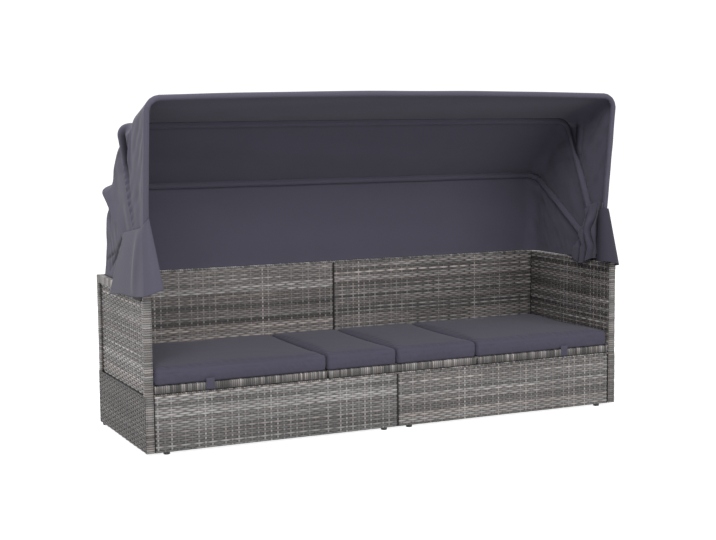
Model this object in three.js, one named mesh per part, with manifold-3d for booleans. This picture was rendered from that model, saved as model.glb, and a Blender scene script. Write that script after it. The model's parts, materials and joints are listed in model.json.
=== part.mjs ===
// Outdoor daybed with woven panels, seat cushions and a folding cloth canopy.
// Millimetres, +Z up. The front is towards -Y, and the floor is at Z = 0.
import * as THREE from 'three';
import { mergeVertices } from 'three/addons/utils/BufferGeometryUtils.js';
import Module from 'manifold-3d';

const wasm = await Module();
wasm.setup();

// The bed as a whole
const bedLength = 2000;
const bedDepth = 622;
const armHeight = 592;
const floorGap = 10;
const endThickness = 31;
const frontThickness = 31;
const backThickness = 29;
const frontHeight = 219;
const seatHeight = 249;
const stripHeight = 26;
const leftHingeX = -292;
const rightHingeX = 349;

// Fits shared by the whole bed
const touchGap = 0.3;
const panelGap = 0.8;
const cutOverrun = 2;
const weldDepth = 1;

// Woven panels and the steel tube frames inside them
const weaveWall = 3.2;
const tubeWall = 1.5;
const endLowerHeight = 215;
const endRecess = 9;
const frontInset = 1;

// Feet
const footRadius = 12;
const footChamfer = 1.5;
const footStudRadius = 4;
const footStudLength = 14;
const footStudClearance = 0.3;
const outerFootInset = 80;
const innerFootInset = 54;
const backFootInset = 25;

// Seat sections: tube frames under woven decks
const seatFrontInset = 4;
const seatBackGap = 3;
const seatEndGap = 4;
const seatTubeHeight = 22;
const seatTubeWidth = 22;
const seatMiddleGap = 1;
const slatThickness = 4;
const slatWidth = 24;
const slatCount = 2;
const padLength = 24;
const padWidth = 18;
const padInset = 60;
const ledgeWidth = 32;
const ledgeDrop = 18;
const ledgeThickness = 3;

// Hinges of the head sections
const hingeBelowDeck = 10;
const hingeGap = 4.6;
const hingeTubeSetback = 36;
const lugThickness = 3;
const lugRadius = 4.2;
const lugLength = 30;
const lugDrop = 13;
const lugClearance = 0.4;
const lugSpacerSetback = 9;
const lugSpacerInset = 1;
const pinRadius = 2.3;
const pinClearance = 0.2;
const pinHeadRadius = 4.2;
const pinHeadHeight = 2.5;
const pinTail = 6;

// Props that hold the head sections up, and the notched racks they stand in
const propRadius = 5;
const propBelowHinge = 6;
const propLegInset = 14;
const propStub = 6;
const propHoleClearance = 0.4;
const propEndGap = 4;
const propBend = 15;
const rackWidth = 40;
const rackThickness = 3;
const rackFlangeHeight = 60;
const rackFlangeWidth = 56;
const rackLead = 25;
const rackTail = 2;
const rackStepDown = 1;
const notchDepth = 5;
const notchRun = 4;
const notchAngles = [18, 27, 36, 45];
const beamWidth = 44;
const beamHeight = 22;
const beamWall = 2;
const beamDrop = 20;
const beamFlangeWidth = 70;
const beamFlangeHeight = 44;
const beamFlangeThickness = 3;

// Cushions and their straps
const cushionThickness = 66;
const cushionCrown = 7;
const cushionEdge = 14;
const cushionCorner = 26;
const cushionPull = 3;
const cushionFrontInset = 6;
const cushionBackGap = 5;
const cushionEndGap = 3;
const cushionGap = 1;
const strapX = 755;
const strapWidth = 32;
const strapThickness = 1.6;
const strapRise = 16;
const strapTuck = 4;

// Canopy bows, which turn on one bolt above each arm
const bowPivotSetback = 66;
const bowTubeRadius = 8;
const bowTubeWall = 1.2;
const bowPivotInset = 29;
const bowPivotRise = 14;
const bowSpread = 2;
const bowCorner = 50;
const tongueLength = 115;
const tongueLap = 15;
const tongueWidth = 16;
const tongueThickness = 2.5;
const tongueGap = 0.5;
const frontBow = { reach: 666, angle: 96.7, arch: 12 };
const middleBow = { reach: 618, angle: 65.2, arch: 3 };
const rearBow = { reach: 601, angle: 32.5, arch: 0 };

// Pivot bolts and the plates outside the arms
const boltRadius = 4;
const boltClearance = 0.3;
const boltHeadRadius = 9;
const boltHeadHeight = 3.2;
const boltCollarRadius = 9;
const boltTail = 5;
const nutRadius = 7.5;
const nutHeight = 6.5;
const plateLength = 110;
const plateHeight = 40;
const plateThickness = 2.5;
const plateDrop = 2;
const plateLugWidth = 30;
const platePinRadius = 4;
const platePinLength = 10;
const platePinSpacing = 56;

// Canopy cloth
const clothThickness = 1.6;
const clothStart = 26;
const clothSeam = 0.5;
const clothEase = 0.6;
const hemAboveBack = 8;
const hemSetback = 4;
const roofSag = 7;
const sideFold = 8;
const sideFoldCounts = [3, 2, 2];
const canopyOverhang = 84;

// Side flaps, which hang from the canopy's sides over the arms
const flapTopRise = 220;
const flapTopFall = 32;
const flapTopFront = 46;
const flapTopLength = 250;
const flapFrontRise = 14;
const flapCornerDrop = 14;
const flapRearDrop = 49;
const flapRearY = 75;
const flapClearance = 8;
const flapSeamGap = 0.6;
const flapFold = 3;
const flapFoldCount = 3.5;
const flapFrontReturn = 40;

// Places worked out from those sizes
const halfLength = bedLength / 2;
const innerX = halfLength - endThickness;
const frontY = -bedDepth / 2;
const backY = bedDepth / 2;
const backInnerY = backY - backThickness;
const frontInnerY = frontY + frontInset + frontThickness;
const stripBottom = seatHeight - stripHeight;
const seatFrontY = frontY + seatFrontInset;
const seatBackY = backInnerY - seatBackGap;
const seatEndX = innerX - seatEndGap;
const railOuterFront = seatFrontY + weaveWall + touchGap;
const railInnerFront = railOuterFront + seatTubeWidth;
const railOuterBack = seatBackY - weaveWall - touchGap;
const railInnerBack = railOuterBack - seatTubeWidth;
const seatTubeTop = seatHeight - weaveWall - touchGap;
const seatTubeBottom = seatTubeTop - seatTubeHeight;
const hingeZ = seatHeight - hingeBelowDeck;
const propZ = hingeZ - propBelowHinge;
const rackTop = propZ - propRadius - touchGap;
const rackY = (railInnerFront + railInnerBack) / 2;
const beamTop = frontHeight - beamDrop;
const pivotY = frontY + bowPivotSetback;
const armRailZ = armHeight - endThickness / 2;
const pivotZ = armHeight + bowPivotRise;
const pivotX = halfLength - bowPivotInset;
const centreShift = canopyOverhang / 2;

const xAxis = new THREE.Vector3(1, 0, 0);
const yAxis = new THREE.Vector3(0, 1, 0);
const zAxis = new THREE.Vector3(0, 0, 1);
const lerp = THREE.MathUtils.lerp;
const radians = THREE.MathUtils.degToRad;

// Materials by finish; each mesh gets a copy of its own.
const finishes = {
  weave: { color: 0x8d8a88, roughness: 0.55, metalness: 0 },
  steel: { color: 0x2b2b2d, roughness: 0.5, metalness: 0.6 },
  zinc: { color: 0x8f9194, roughness: 0.4, metalness: 0.9 },
  plastic: { color: 0x161617, roughness: 0.6, metalness: 0 },
  cushion: { color: 0x585662, roughness: 0.95, metalness: 0 },
  canopy: { color: 0x66646f, roughness: 0.95, metalness: 0 },
};

const daybed = new THREE.Group();
daybed.position.y = centreShift;

function addPiece(name, finish, geometry) {
  const piece = new THREE.Mesh(geometry, new THREE.MeshStandardMaterial(finishes[finish]));
  piece.name = name;
  daybed.add(piece);
  return piece;
}

// Solids and geometries

function solidOf(geometry) {
  const bare = geometry.clone();
  bare.deleteAttribute('normal');
  bare.deleteAttribute('uv');
  const merged = mergeVertices(bare);
  return new wasm.Manifold(new wasm.Mesh({
    numProp: 3,
    vertProperties: new Float32Array(merged.attributes.position.array),
    triVerts: new Uint32Array(merged.index.array),
  }));
}

function geometryOf(solid) {
  const mesh = solid.getMesh();
  const geometry = new THREE.BufferGeometry();
  geometry.setAttribute('position', new THREE.BufferAttribute(mesh.vertProperties, 3));
  geometry.setIndex(new THREE.BufferAttribute(mesh.triVerts, 1));
  const faceted = geometry.toNonIndexed();
  faceted.computeVertexNormals();
  return faceted;
}

function join(solids) {
  return solids.reduce((whole, next) => whole.add(next));
}

// Puts the end faces of a unit-long geometry along an axis exactly at the ends of a span.
function stretch(geometry, axis, span) {
  const position = geometry.attributes.position;
  const component = ['x', 'y', 'z'].indexOf(axis);
  const ends = [Math.min(...span), Math.max(...span)];
  for (let i = 0; i < position.count; i++) {
    position.setComponent(i, component, ends[position.getComponent(i, component) > 0 ? 1 : 0]);
  }
  return geometry;
}

// A box from the two ends of its span along each axis, given in either order.
function block(x, y, z) {
  const geometry = new THREE.BoxGeometry(1, 1, 1);
  return solidOf(stretch(stretch(stretch(geometry, 'x', x), 'y', y), 'z', z));
}

// Runs joined into one piece and hollowed to a wall. A run's open list names the faces left open.
function hollow(runs, wall) {
  const outer = join(runs.map((run) => block(run.x, run.y, run.z)));
  const inner = join(runs.map((run) => {
    const spans = ['x', 'y', 'z'].map((axis) => {
      const open = run.open ?? [];
      const low = Math.min(...run[axis]);
      const high = Math.max(...run[axis]);
      return [
        open.includes('-' + axis) ? low - cutOverrun : low + wall,
        open.includes('+' + axis) ? high + cutOverrun : high - wall,
      ];
    });
    return block(...spans);
  }));
  return outer.subtract(inner);
}

// A span run past both its ends, so that what is cut along it is cut right through.
function past(span) {
  return [Math.min(...span) - cutOverrun, Math.max(...span) + cutOverrun];
}

// A round bar along an axis, from its centre point and its span along that axis.
function bar(axis, centre, radius, span, sides = 12) {
  const geometry = new THREE.CylinderGeometry(radius, radius, 1, sides);
  if (axis === 'x') geometry.rotateZ(-Math.PI / 2);
  if (axis === 'z') geometry.rotateX(Math.PI / 2);
  stretch(geometry, axis, span);
  const place = new THREE.Vector3(...centre);
  place[axis] = 0;
  return solidOf(geometry.translate(place.x, place.y, place.z));
}

// A flat plate from its outline. Its outline lies in X and Z and its span along Y, or in Y and Z along X.
function plate(shape, axis, span, curveSegments = 6) {
  const geometry = new THREE.ExtrudeGeometry(shape, { depth: 1, bevelEnabled: false, curveSegments });
  geometry.translate(0, 0, -1 / 2);
  const turned = new THREE.Matrix4();
  if (axis === 'y') turned.makeBasis(xAxis, zAxis, yAxis.clone().negate());
  if (axis === 'x') turned.makeBasis(yAxis, zAxis, xAxis);
  return solidOf(stretch(geometry.applyMatrix4(turned), axis, span));
}

function outline(points) {
  return new THREE.Shape(points.map(([a, b]) => new THREE.Vector2(a, b)));
}

function ring(radius, bore, sides, boreSides) {
  const shape = new THREE.Shape(new THREE.EllipseCurve(0, 0, radius, radius).getPoints(sides).slice(1));
  if (bore > 0) shape.holes.push(new THREE.Path(new THREE.EllipseCurve(0, 0, bore, bore).getPoints(boreSides).slice(1)));
  return shape;
}

// A line through given stations. Sweeping takes one step from each station to the next.
class StationLine extends THREE.Curve {
  constructor(stations) {
    super();
    this.stations = stations;
  }

  getPoint(t, target = new THREE.Vector3()) {
    const place = t * (this.stations.length - 1);
    const first = Math.min(Math.floor(place), this.stations.length - 2);
    return target.lerpVectors(this.stations[first], this.stations[first + 1], place - first);
  }

  getUtoTmapping(u) {
    return u;
  }
}

function sweep(shape, stations) {
  const path = new StationLine(stations);
  return new THREE.ExtrudeGeometry(shape, { steps: stations.length - 1, extrudePath: path, bevelEnabled: false });
}

// Stations along straight runs whose corners are bent round.
function bentLine(corners, bend, stepsPerBend) {
  const stations = [corners[0]];
  for (let i = 1; i < corners.length - 1; i++) {
    const from = corners[i - 1].clone().sub(corners[i]).setLength(bend).add(corners[i]);
    const to = corners[i + 1].clone().sub(corners[i]).setLength(bend).add(corners[i]);
    stations.push(...new THREE.QuadraticBezierCurve3(from, corners[i], to).getPoints(stepsPerBend));
  }
  stations.push(corners.at(-1));
  return stations;
}

// A closed sheet of even thickness over a grid of points, where place(i, j) gives its middle surface.
function sheet(columns, rows, thickness, place, outward) {
  const middle = [];
  for (let i = 0; i <= columns; i++) {
    middle.push([]);
    for (let j = 0; j <= rows; j++) middle[i].push(place(i, j));
  }
  const at = (i, j) => middle[THREE.MathUtils.clamp(i, 0, columns)][THREE.MathUtils.clamp(j, 0, rows)];
  const positions = [];
  for (const layer of [1, -1]) {
    for (let i = 0; i <= columns; i++) {
      for (let j = 0; j <= rows; j++) {
        const across = at(i + 1, j).clone().sub(at(i - 1, j));
        const along = at(i, j + 1).clone().sub(at(i, j - 1));
        const normal = across.cross(along).setLength(layer * outward * thickness / 2);
        positions.push(...middle[i][j].clone().add(normal).toArray());
      }
    }
  }
  const count = (columns + 1) * (rows + 1);
  const index = (layer, i, j) => layer * count + i * (rows + 1) + j;
  const faces = [];
  const quad = (a, b, c, d) => faces.push(a, b, c, a, c, d);
  const wall = (a, b) => quad(index(0, ...b), index(0, ...a), index(1, ...a), index(1, ...b));
  for (let i = 0; i < columns; i++) {
    for (let j = 0; j < rows; j++) {
      quad(index(0, i, j), index(0, i + 1, j), index(0, i + 1, j + 1), index(0, i, j + 1));
      quad(index(1, i, j), index(1, i, j + 1), index(1, i + 1, j + 1), index(1, i + 1, j));
    }
    wall([i, 0], [i + 1, 0]);
    wall([i + 1, rows], [i, rows]);
  }
  for (let j = 0; j < rows; j++) {
    wall([0, j + 1], [0, j]);
    wall([columns, j], [columns, j + 1]);
  }
  if (outward < 0) faces.reverse();
  const geometry = new THREE.BufferGeometry();
  geometry.setAttribute('position', new THREE.Float32BufferAttribute(positions, 3));
  geometry.setIndex(faces);
  const faceted = geometry.toNonIndexed();
  faceted.computeVertexNormals();
  return faceted;
}

// End panels: a tube frame inside a woven sleeve, which is set back between its posts

function endFrame(side) {
  const cover = weaveWall + touchGap;
  const x = [side * (innerX + cover), side * (halfLength - cover)];
  const tube = endThickness - 2 * cover;
  const low = frontY + cover;
  const high = backY - cover;
  const top = armHeight - cover;
  const railTop = endLowerHeight - cover;
  const frame = hollow([
    { x, y: [low, low + tube], z: [floorGap, top] },
    { x, y: [high - tube, high], z: [floorGap, top] },
    { x, y: [low, high], z: [top - tube, top] },
    { x, y: [low, high], z: [railTop - tube, railTop] },
    { x, y: [low, high], z: [floorGap, floorGap + tube] },
  ], tubeWall);
  const footHole = bar('z', [side * (innerX + endThickness / 2), backY - backFootInset, 0],
    footStudRadius + footStudClearance, [floorGap - cutOverrun, floorGap + footStudLength + cutOverrun]);
  return frame.subtract(platePinHoles(side)).subtract(footHole);
}

// Two bars through the outside of an arm's top rail, where the pins of the pivot plate go in.
function platePins(side, radius, innerEnd, outerEnd) {
  const pins = [-1, 1].map((end) => {
    const y = pivotY + end * platePinSpacing / 2;
    return bar('x', [0, y, armRailZ], radius, [side * innerEnd, side * outerEnd]);
  });
  return join(pins);
}

function platePinHoles(side) {
  return platePins(side, platePinRadius + boltClearance, halfLength - endThickness / 2, halfLength + cutOverrun);
}

function endWeave(side) {
  const full = [side * innerX, side * halfLength];
  const recessed = [side * innerX, side * (halfLength - endRecess)];
  const z = [floorGap, armHeight];
  const sleeve = hollow([
    { x: full, y: [frontY, backY], z: [floorGap, endLowerHeight], open: ['-z'] },
    { x: full, y: [frontY, frontY + endThickness], z, open: ['-z'] },
    { x: full, y: [backY - endThickness, backY], z, open: ['-z'] },
    { x: full, y: [frontY, backY], z: [armHeight - endThickness, armHeight] },
    { x: recessed, y: [frontY, backY], z, open: ['-z'] },
  ], weaveWall);
  return sleeve.subtract(platePinHoles(side));
}

// Front and back panels, two of each, which meet at the middle of the bed

function longFrame(side, y, height, levels, feet) {
  const cover = weaveWall + touchGap;
  const inside = [Math.min(...y) + cover, Math.max(...y) - cover];
  const tube = inside[1] - inside[0];
  const near = panelGap / 2 + cover;
  const far = innerX - panelGap - cover;
  const middle = (near + far) / 2;
  const top = height - cover;
  const upright = (x) => ({ x: [side * (x - tube / 2), side * (x + tube / 2)], y: inside, z: [floorGap, top] });
  const rail = (z) => ({ x: [side * near, side * far], y: inside, z: [z, z + tube] });
  const frame = hollow([
    upright(near + tube / 2), upright(middle), upright(far - tube / 2),
    ...[floorGap, ...levels, top - tube].map(rail),
  ], tubeWall);
  return feet.reduce((part, x) => part.subtract(bar('z', [side * x, (inside[0] + inside[1]) / 2, 0],
    footStudRadius + footStudClearance, [floorGap - cutOverrun, floorGap + footStudLength + cutOverrun])), frame);
}

function longWeave(side, y, height) {
  const x = [side * panelGap / 2, side * (innerX - panelGap)];
  return hollow([{ x, y, z: [floorGap, height], open: ['-z'] }], weaveWall);
}

function backLedge(side) {
  const x = [side * panelGap, side * (innerX - panelGap)];
  const face = backInnerY - touchGap;
  return join([
    block(x, [face - ledgeThickness, face], [frontHeight - ledgeDrop, frontHeight]),
    block(x, [face - ledgeWidth, face], [frontHeight - ledgeThickness, frontHeight]),
  ]);
}

function foot() {
  const top = floorGap - touchGap;
  const profile = [
    [0, 0], [footRadius - footChamfer, 0], [footRadius, footChamfer], [footRadius, top],
    [footStudRadius, top], [footStudRadius, top + footStudLength], [0, top + footStudLength],
  ];
  const geometry = new THREE.LatheGeometry(profile.map(([r, z]) => new THREE.Vector2(r, z)), 14);
  return geometryOf(solidOf(geometry.rotateX(Math.PI / 2)));
}

const frontPanelY = [frontY + frontInset, frontInnerY];
const backPanelY = [backInnerY, backY];
const feetAt = [innerX - outerFootInset + (frontThickness + frontInset), innerFootInset];
const ledgeRail = frontHeight - ledgeDrop - weaveWall;

for (const [label, side] of [['left', -1], ['right', 1]]) {
  addPiece(label + '_end_frame', 'steel', geometryOf(endFrame(side)));
  addPiece(label + '_end_weave', 'weave', geometryOf(endWeave(side)));
  addPiece(label + '_front_frame', 'steel', geometryOf(longFrame(side, frontPanelY, frontHeight, [], feetAt)));
  addPiece(label + '_front_weave', 'weave', geometryOf(longWeave(side, frontPanelY, frontHeight)));
  addPiece(label + '_back_frame', 'steel',
    geometryOf(longFrame(side, backPanelY, armHeight, [ledgeRail], [innerFootInset])));
  addPiece(label + '_back_weave', 'weave', geometryOf(longWeave(side, backPanelY, armHeight)));
  addPiece(label + '_seat_ledge', 'steel', geometryOf(backLedge(side)));
  const frontFootY = (frontPanelY[0] + frontPanelY[1]) / 2;
  const backFootY = (backPanelY[0] + backPanelY[1]) / 2;
  addPiece(label + '_front_outer_foot', 'plastic', foot()).position.set(side * feetAt[0], frontFootY, 0);
  addPiece(label + '_front_inner_foot', 'plastic', foot()).position.set(side * feetAt[1], frontFootY, 0);
  addPiece(label + '_back_outer_foot', 'plastic', foot())
    .position.set(side * (innerX + endThickness / 2), backY - backFootInset, 0);
  addPiece(label + '_back_inner_foot', 'plastic', foot()).position.set(side * innerFootInset, backFootY, 0);
}

// Seat sections. A section runs from its hinge line outwards to its far end, or to the bed's middle

function pads(near, far) {
  const ends = [near, far].map((x, i) => {
    const inward = i ? near - far : far - near;
    return x + Math.sign(inward) * padInset;
  });
  const rows = [(railOuterFront + railInnerFront) / 2, (railOuterBack + railInnerBack) / 2];
  return ends.flatMap((x) => rows.map((y) => block([x - padLength / 2, x + padLength / 2],
    [y - padWidth / 2, y + padWidth / 2], [frontHeight + touchGap, seatTubeBottom + tubeWall / 2])));
}

// The hinge lugs of one frame. They point over the hinge line, against the frame's own direction.
function hingeLugs(hingeX, away, offset) {
  const shape = outline([
    [hingeX + away * lugLength, hingeZ - lugDrop],
    [hingeX + away * lugLength, hingeZ + lugRadius],
    ...arcPoints(hingeX, hingeZ, lugRadius, away),
  ]);
  const holes = [];
  const lugs = [[railInnerFront, 1], [railInnerBack, -1]].flatMap(([face, inward]) => {
    const y = [face + inward * offset, face + inward * (offset + lugThickness)];
    holes.push(bar('y', [hingeX, 0, hingeZ], pinRadius + pinClearance, past(y)));
    const spacer = block(
      [hingeX + away * lugSpacerSetback, hingeX + away * (lugLength - lugSpacerInset)],
      [face - inward * weldDepth, face + inward * (offset + lugSpacerInset)],
      [hingeZ - lugDrop + lugSpacerInset, hingeZ + lugRadius - lugSpacerInset],
    );
    return [plate(shape, 'y', y), spacer];
  });
  return { lugs, holes };
}

// Half a circle from its top round the far side to its bottom, on the side that away points from.
function arcPoints(x, z, radius, away) {
  const steps = 6;
  return Array.from({ length: steps + 1 }, (_, i) => {
    const turn = Math.PI * i / steps;
    return [x - away * radius * Math.sin(turn), z + radius * Math.cos(turn)];
  });
}

function seatRuns(near, far, direction) {
  const z = [seatTubeBottom, seatTubeTop];
  const open = direction > 0 ? ['-x'] : ['+x'];
  const cross = near + direction * (hingeTubeSetback - hingeGap);
  return [
    { x: [near, far], y: [railOuterFront, railInnerFront], z, open },
    { x: [near, far], y: [railInnerBack, railOuterBack], z, open },
    { x: [cross, cross + direction * seatTubeWidth], y: [railOuterFront, railOuterBack], z },
    { x: [far - direction * seatTubeWidth, far], y: [railOuterFront, railOuterBack], z },
  ];
}

function middleFrame(hingeX, side) {
  const near = hingeX - side * hingeGap;
  const far = side * (seatMiddleGap / 2 + weaveWall + touchGap);
  const { lugs, holes } = hingeLugs(hingeX, -side, lugThickness + lugClearance);
  const frame = join([hollow(seatRuns(near, far, -side), tubeWall), ...pads(near, far), ...lugs]);
  return holes.reduce((part, hole) => part.subtract(hole), frame);
}

function headFrame(hingeX, side) {
  const near = hingeX + side * hingeGap;
  const far = side * (seatEndX - weaveWall - touchGap);
  const { lugs, holes } = hingeLugs(hingeX, side, 0);
  const slats = Array.from({ length: slatCount }, (_, i) => {
    const x = lerp(near, far, (i + 1) / (slatCount + 1));
    return block([x - slatWidth / 2, x + slatWidth / 2],
      [railInnerFront - weldDepth, railInnerBack + weldDepth], [seatTubeTop - slatThickness, seatTubeTop]);
  });
  const frame = join([hollow(seatRuns(near, far, side), tubeWall), ...pads(near, far), ...slats, ...lugs]);
  const propHoles = [[railInnerFront, -1], [railInnerBack, 1]].map(([face, outwards]) => {
    const y = past([face, face + outwards * propStub]);
    return bar('y', [hingeX + side * propReach(hingeX), 0, propZ], propRadius + propHoleClearance, y);
  });
  return [...holes, ...propHoles].reduce((part, hole) => part.subtract(hole), frame);
}

function deck(near, far, side, closedEnd) {
  const open = ['-z', side > 0 ? '-x' : '+x'];
  if (!closedEnd) open.push(side > 0 ? '+x' : '-x');
  return hollow([{ x: [near, far], y: [seatFrontY, seatBackY], z: [stripBottom, seatHeight], open }], weaveWall);
}

function hingePin(hingeX, face, inward) {
  const inner = face + inward * (2 * lugThickness + lugClearance + touchGap);
  const shaft = [face - inward * pinTail, inner + inward * pinHeadHeight / 2];
  const head = [inner, inner + inward * pinHeadHeight];
  return join([
    bar('y', [hingeX, 0, hingeZ], pinRadius, shaft),
    bar('y', [hingeX, 0, hingeZ], pinHeadRadius, head),
  ]);
}

// Distance from the hinge to the prop's pivot. The prop is as long, so its foot keeps its height.
function propReach(hingeX) {
  const lastTube = seatEndX - weaveWall - touchGap - seatTubeWidth - Math.abs(hingeX);
  return (lastTube - propEndGap - propRadius) / 2;
}

function prop(hingeX, side) {
  const reach = propReach(hingeX);
  const pivot = hingeX + side * reach;
  const end = hingeX + side * 2 * reach;
  const legs = [railInnerFront + propLegInset, railInnerBack - propLegInset];
  const corners = [
    [pivot, railInnerFront - propStub], [pivot, legs[0]], [end, legs[0]],
    [end, legs[1]], [pivot, legs[1]], [pivot, railInnerBack + propStub],
  ].map(([x, y]) => new THREE.Vector3(x, y, propZ));
  const bend = Math.min(propBend, propLegInset - propRadius / 2);
  return sweep(ring(propRadius, 0, 8), bentLine(corners, bend, 4));
}

function rack(hingeX, side) {
  const reach = propReach(hingeX);
  const end = side * (innerX - touchGap);
  const start = hingeX - side * beamWidth / 2;
  const bottom = beamTop + touchGap;
  const notches = notchAngles.map((angle) => hingeX + side * 2 * reach * Math.cos(radians(angle)));
  const top = notches.sort((a, b) => side * (b - a)).flatMap((x) => [
    [x + side * (propRadius + notchRun), rackTop],
    [x + side * propRadius, rackTop - notchDepth],
    [x - side * propRadius, rackTop - notchDepth],
    [x - side * (propRadius + 1 / notchRun), rackTop],
  ]);
  const lowTop = stripBottom - rackStepDown;
  const first = hingeX + side * (2 * reach + propRadius + rackTail);
  const last = notches.at(-1) - side * rackLead;
  const shape = outline([
    [start, bottom], [end, bottom], [end, lowTop], [first, lowTop], [first, rackTop],
    ...top, [last, rackTop], [last, lowTop], [start, lowTop],
  ]);
  const low = rackY - rackWidth / 2;
  const high = rackY + rackWidth / 2;
  return join([
    plate(shape, 'y', [low, low + rackThickness]),
    plate(shape, 'y', [high - rackThickness, high]),
    block([start, end], [low, high], [bottom, bottom + rackThickness]),
    block([end - side * rackThickness, end], [rackY - rackFlangeWidth / 2, rackY + rackFlangeWidth / 2],
      [lowTop - rackFlangeHeight, lowTop]),
  ]);
}

function crossBeam(hingeX) {
  const front = frontInnerY + touchGap;
  const back = backInnerY - touchGap;
  const x = [hingeX - beamWidth / 2, hingeX + beamWidth / 2];
  const z = [beamTop - beamHeight, beamTop];
  const lap = beamFlangeThickness / 2;
  const channel = hollow([{ x, y: [front + lap, back - lap], z, open: ['-z', '-y', '+y'] }], beamWall);
  const flange = (y) => block([hingeX - beamFlangeWidth / 2, hingeX + beamFlangeWidth / 2],
    [y, y + beamFlangeThickness], [beamTop - beamFlangeHeight, beamTop - beamWall / 2]);
  return join([channel, flange(front), flange(back - beamFlangeThickness)]);
}

for (const [label, side, hingeX] of [['left', -1, leftHingeX], ['right', 1, rightHingeX]]) {
  addPiece(label + '_middle_frame', 'steel', geometryOf(middleFrame(hingeX, side)));
  addPiece(label + '_middle_deck', 'weave',
    geometryOf(deck(hingeX - side * hingeGap, side * seatMiddleGap / 2, -side, true)));
  addPiece(label + '_head_frame', 'steel', geometryOf(headFrame(hingeX, side)));
  addPiece(label + '_head_deck', 'weave',
    geometryOf(deck(hingeX + side * hingeGap, side * seatEndX, side, true)));
  addPiece(label + '_front_hinge_pin', 'zinc', geometryOf(hingePin(hingeX, railInnerFront, 1)));
  addPiece(label + '_back_hinge_pin', 'zinc', geometryOf(hingePin(hingeX, railInnerBack, -1)));
  addPiece(label + '_prop', 'zinc', prop(hingeX, side));
  addPiece(label + '_rack', 'steel', geometryOf(rack(hingeX, side)));
  addPiece(label + '_cross_beam', 'steel', geometryOf(crossBeam(hingeX)));
}

// Cushions: crowned above, flat below, with sides that pull in between the corners

function cushion(x, y, z) {
  const half = new THREE.Vector2((x[1] - x[0]) / 2, (y[1] - y[0]) / 2);
  const middle = new THREE.Vector2((x[0] + x[1]) / 2, (y[0] + y[1]) / 2);
  const around = 48;
  const rim = Array.from({ length: around }, (_, i) => {
    const turn = 2 * Math.PI * (i + 1 / 2) / around;
    const c = Math.cos(turn);
    const s = Math.sin(turn);
    const straight = half.clone().subScalar(cushionCorner);
    const roundness = 0.15;
    const a = Math.sign(c) * Math.abs(c) ** roundness;
    const b = Math.sign(s) * Math.abs(s) ** roundness;
    return new THREE.Vector2(
      a * half.x - Math.sign(a) * cushionPull * Math.max(0, 1 - (b * half.y / straight.y) ** 2),
      b * half.y - Math.sign(b) * cushionPull * Math.max(0, 1 - (a * half.x / straight.x) ** 2),
    );
  });
  const insets = [
    [1, z[0]], [0.5, z[0]], [cushionEdge / half.y / 2, z[0]], [0, z[0] + cushionEdge / 2],
    [0, z[1] - cushionEdge], [cushionEdge / half.y / 4, z[1] - cushionEdge / 4], [cushionEdge / half.y, z[1]],
    [0.3, z[1] + cushionCrown * 0.6], [0.6, z[1] + cushionCrown * 0.92], [1, z[1] + cushionCrown],
  ];
  const positions = [];
  for (const [inset, level] of insets) {
    for (const point of rim) {
      const share = 1 - inset;
      positions.push(middle.x + point.x * share, middle.y + point.y * share, level);
    }
  }
  const faces = [];
  for (let k = 0; k < insets.length - 1; k++) {
    for (let i = 0; i < around; i++) {
      const next = (i + 1) % around;
      const a = k * around + i;
      const b = k * around + next;
      const c = (k + 1) * around + next;
      const d = (k + 1) * around + i;
      if (insets[k][0] < 1) faces.push(a, b, c);
      if (insets[k + 1][0] < 1) faces.push(a, c, d);
    }
  }
  const geometry = new THREE.BufferGeometry();
  geometry.setAttribute('position', new THREE.Float32BufferAttribute(positions, 3));
  geometry.setIndex(faces);
  return geometryOf(solidOf(geometry));
}

function strap(centreX) {
  const faceY = seatFrontY - touchGap;
  const tuckY = frontY + cushionFrontInset - touchGap;
  const shape = outline([
    [faceY, stripBottom], [faceY, seatHeight + touchGap], [tuckY, seatHeight + strapTuck],
    [tuckY, seatHeight + strapRise], [tuckY - strapThickness, seatHeight + strapRise],
    [tuckY - strapThickness, seatHeight + strapTuck + strapThickness], [faceY - strapThickness, seatHeight],
    [faceY - strapThickness, stripBottom],
  ]);
  return plate(shape, 'x', [centreX - strapWidth / 2, centreX + strapWidth / 2]);
}

const cushionY = [frontY + cushionFrontInset, backInnerY - cushionBackGap];
const cushionZ = [seatHeight + touchGap, seatHeight + touchGap + cushionThickness - cushionCrown];
const cushionSplits = [-innerX + cushionEndGap, leftHingeX, 0, rightHingeX, innerX - cushionEndGap];
['left_head', 'left_middle', 'right_middle', 'right_head'].forEach((label, i) => {
  const low = cushionSplits[i] + (i > 0 ? cushionGap / 2 : 0);
  const high = cushionSplits[i + 1] - (i < cushionSplits.length - 2 ? cushionGap / 2 : 0);
  addPiece(label + '_cushion', 'cushion', cushion([low, high], cushionY, cushionZ));
});
addPiece('left_strap', 'cushion', geometryOf(strap(-strapX)));
addPiece('right_strap', 'cushion', geometryOf(strap(strapX)));

// Canopy bows. A bow's line lies in its own plane: x across the bed, r outwards from the pivot

function bowLine(bow, start, run) {
  const runs = 5;
  const side = run < runs / 2 ? -1 : 1;
  const along = side < 0 ? run : runs - run;
  const legTop = bow.reach - bowCorner;
  const topX = pivotX + bowSpread;
  if (along <= 1) {
    const r = lerp(start, legTop, along);
    return { x: side * lerp(pivotX, topX, r / legTop), r, turn: 0, side };
  }
  if (along <= 2) {
    const turn = (along - 1) * Math.PI / 2;
    const x = topX - bowCorner + bowCorner * Math.cos(turn);
    return { x: side * x, r: legTop + bowCorner * Math.sin(turn), turn, side };
  }
  const x = (topX - bowCorner) * (1 - (along - 2) / (runs / 2 - 2));
  const arch = bow.arch * (1 - (x / (topX - bowCorner)) ** 2);
  return { x: side * x, r: bow.reach + arch, turn: Math.PI / 2, side };
}

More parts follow.
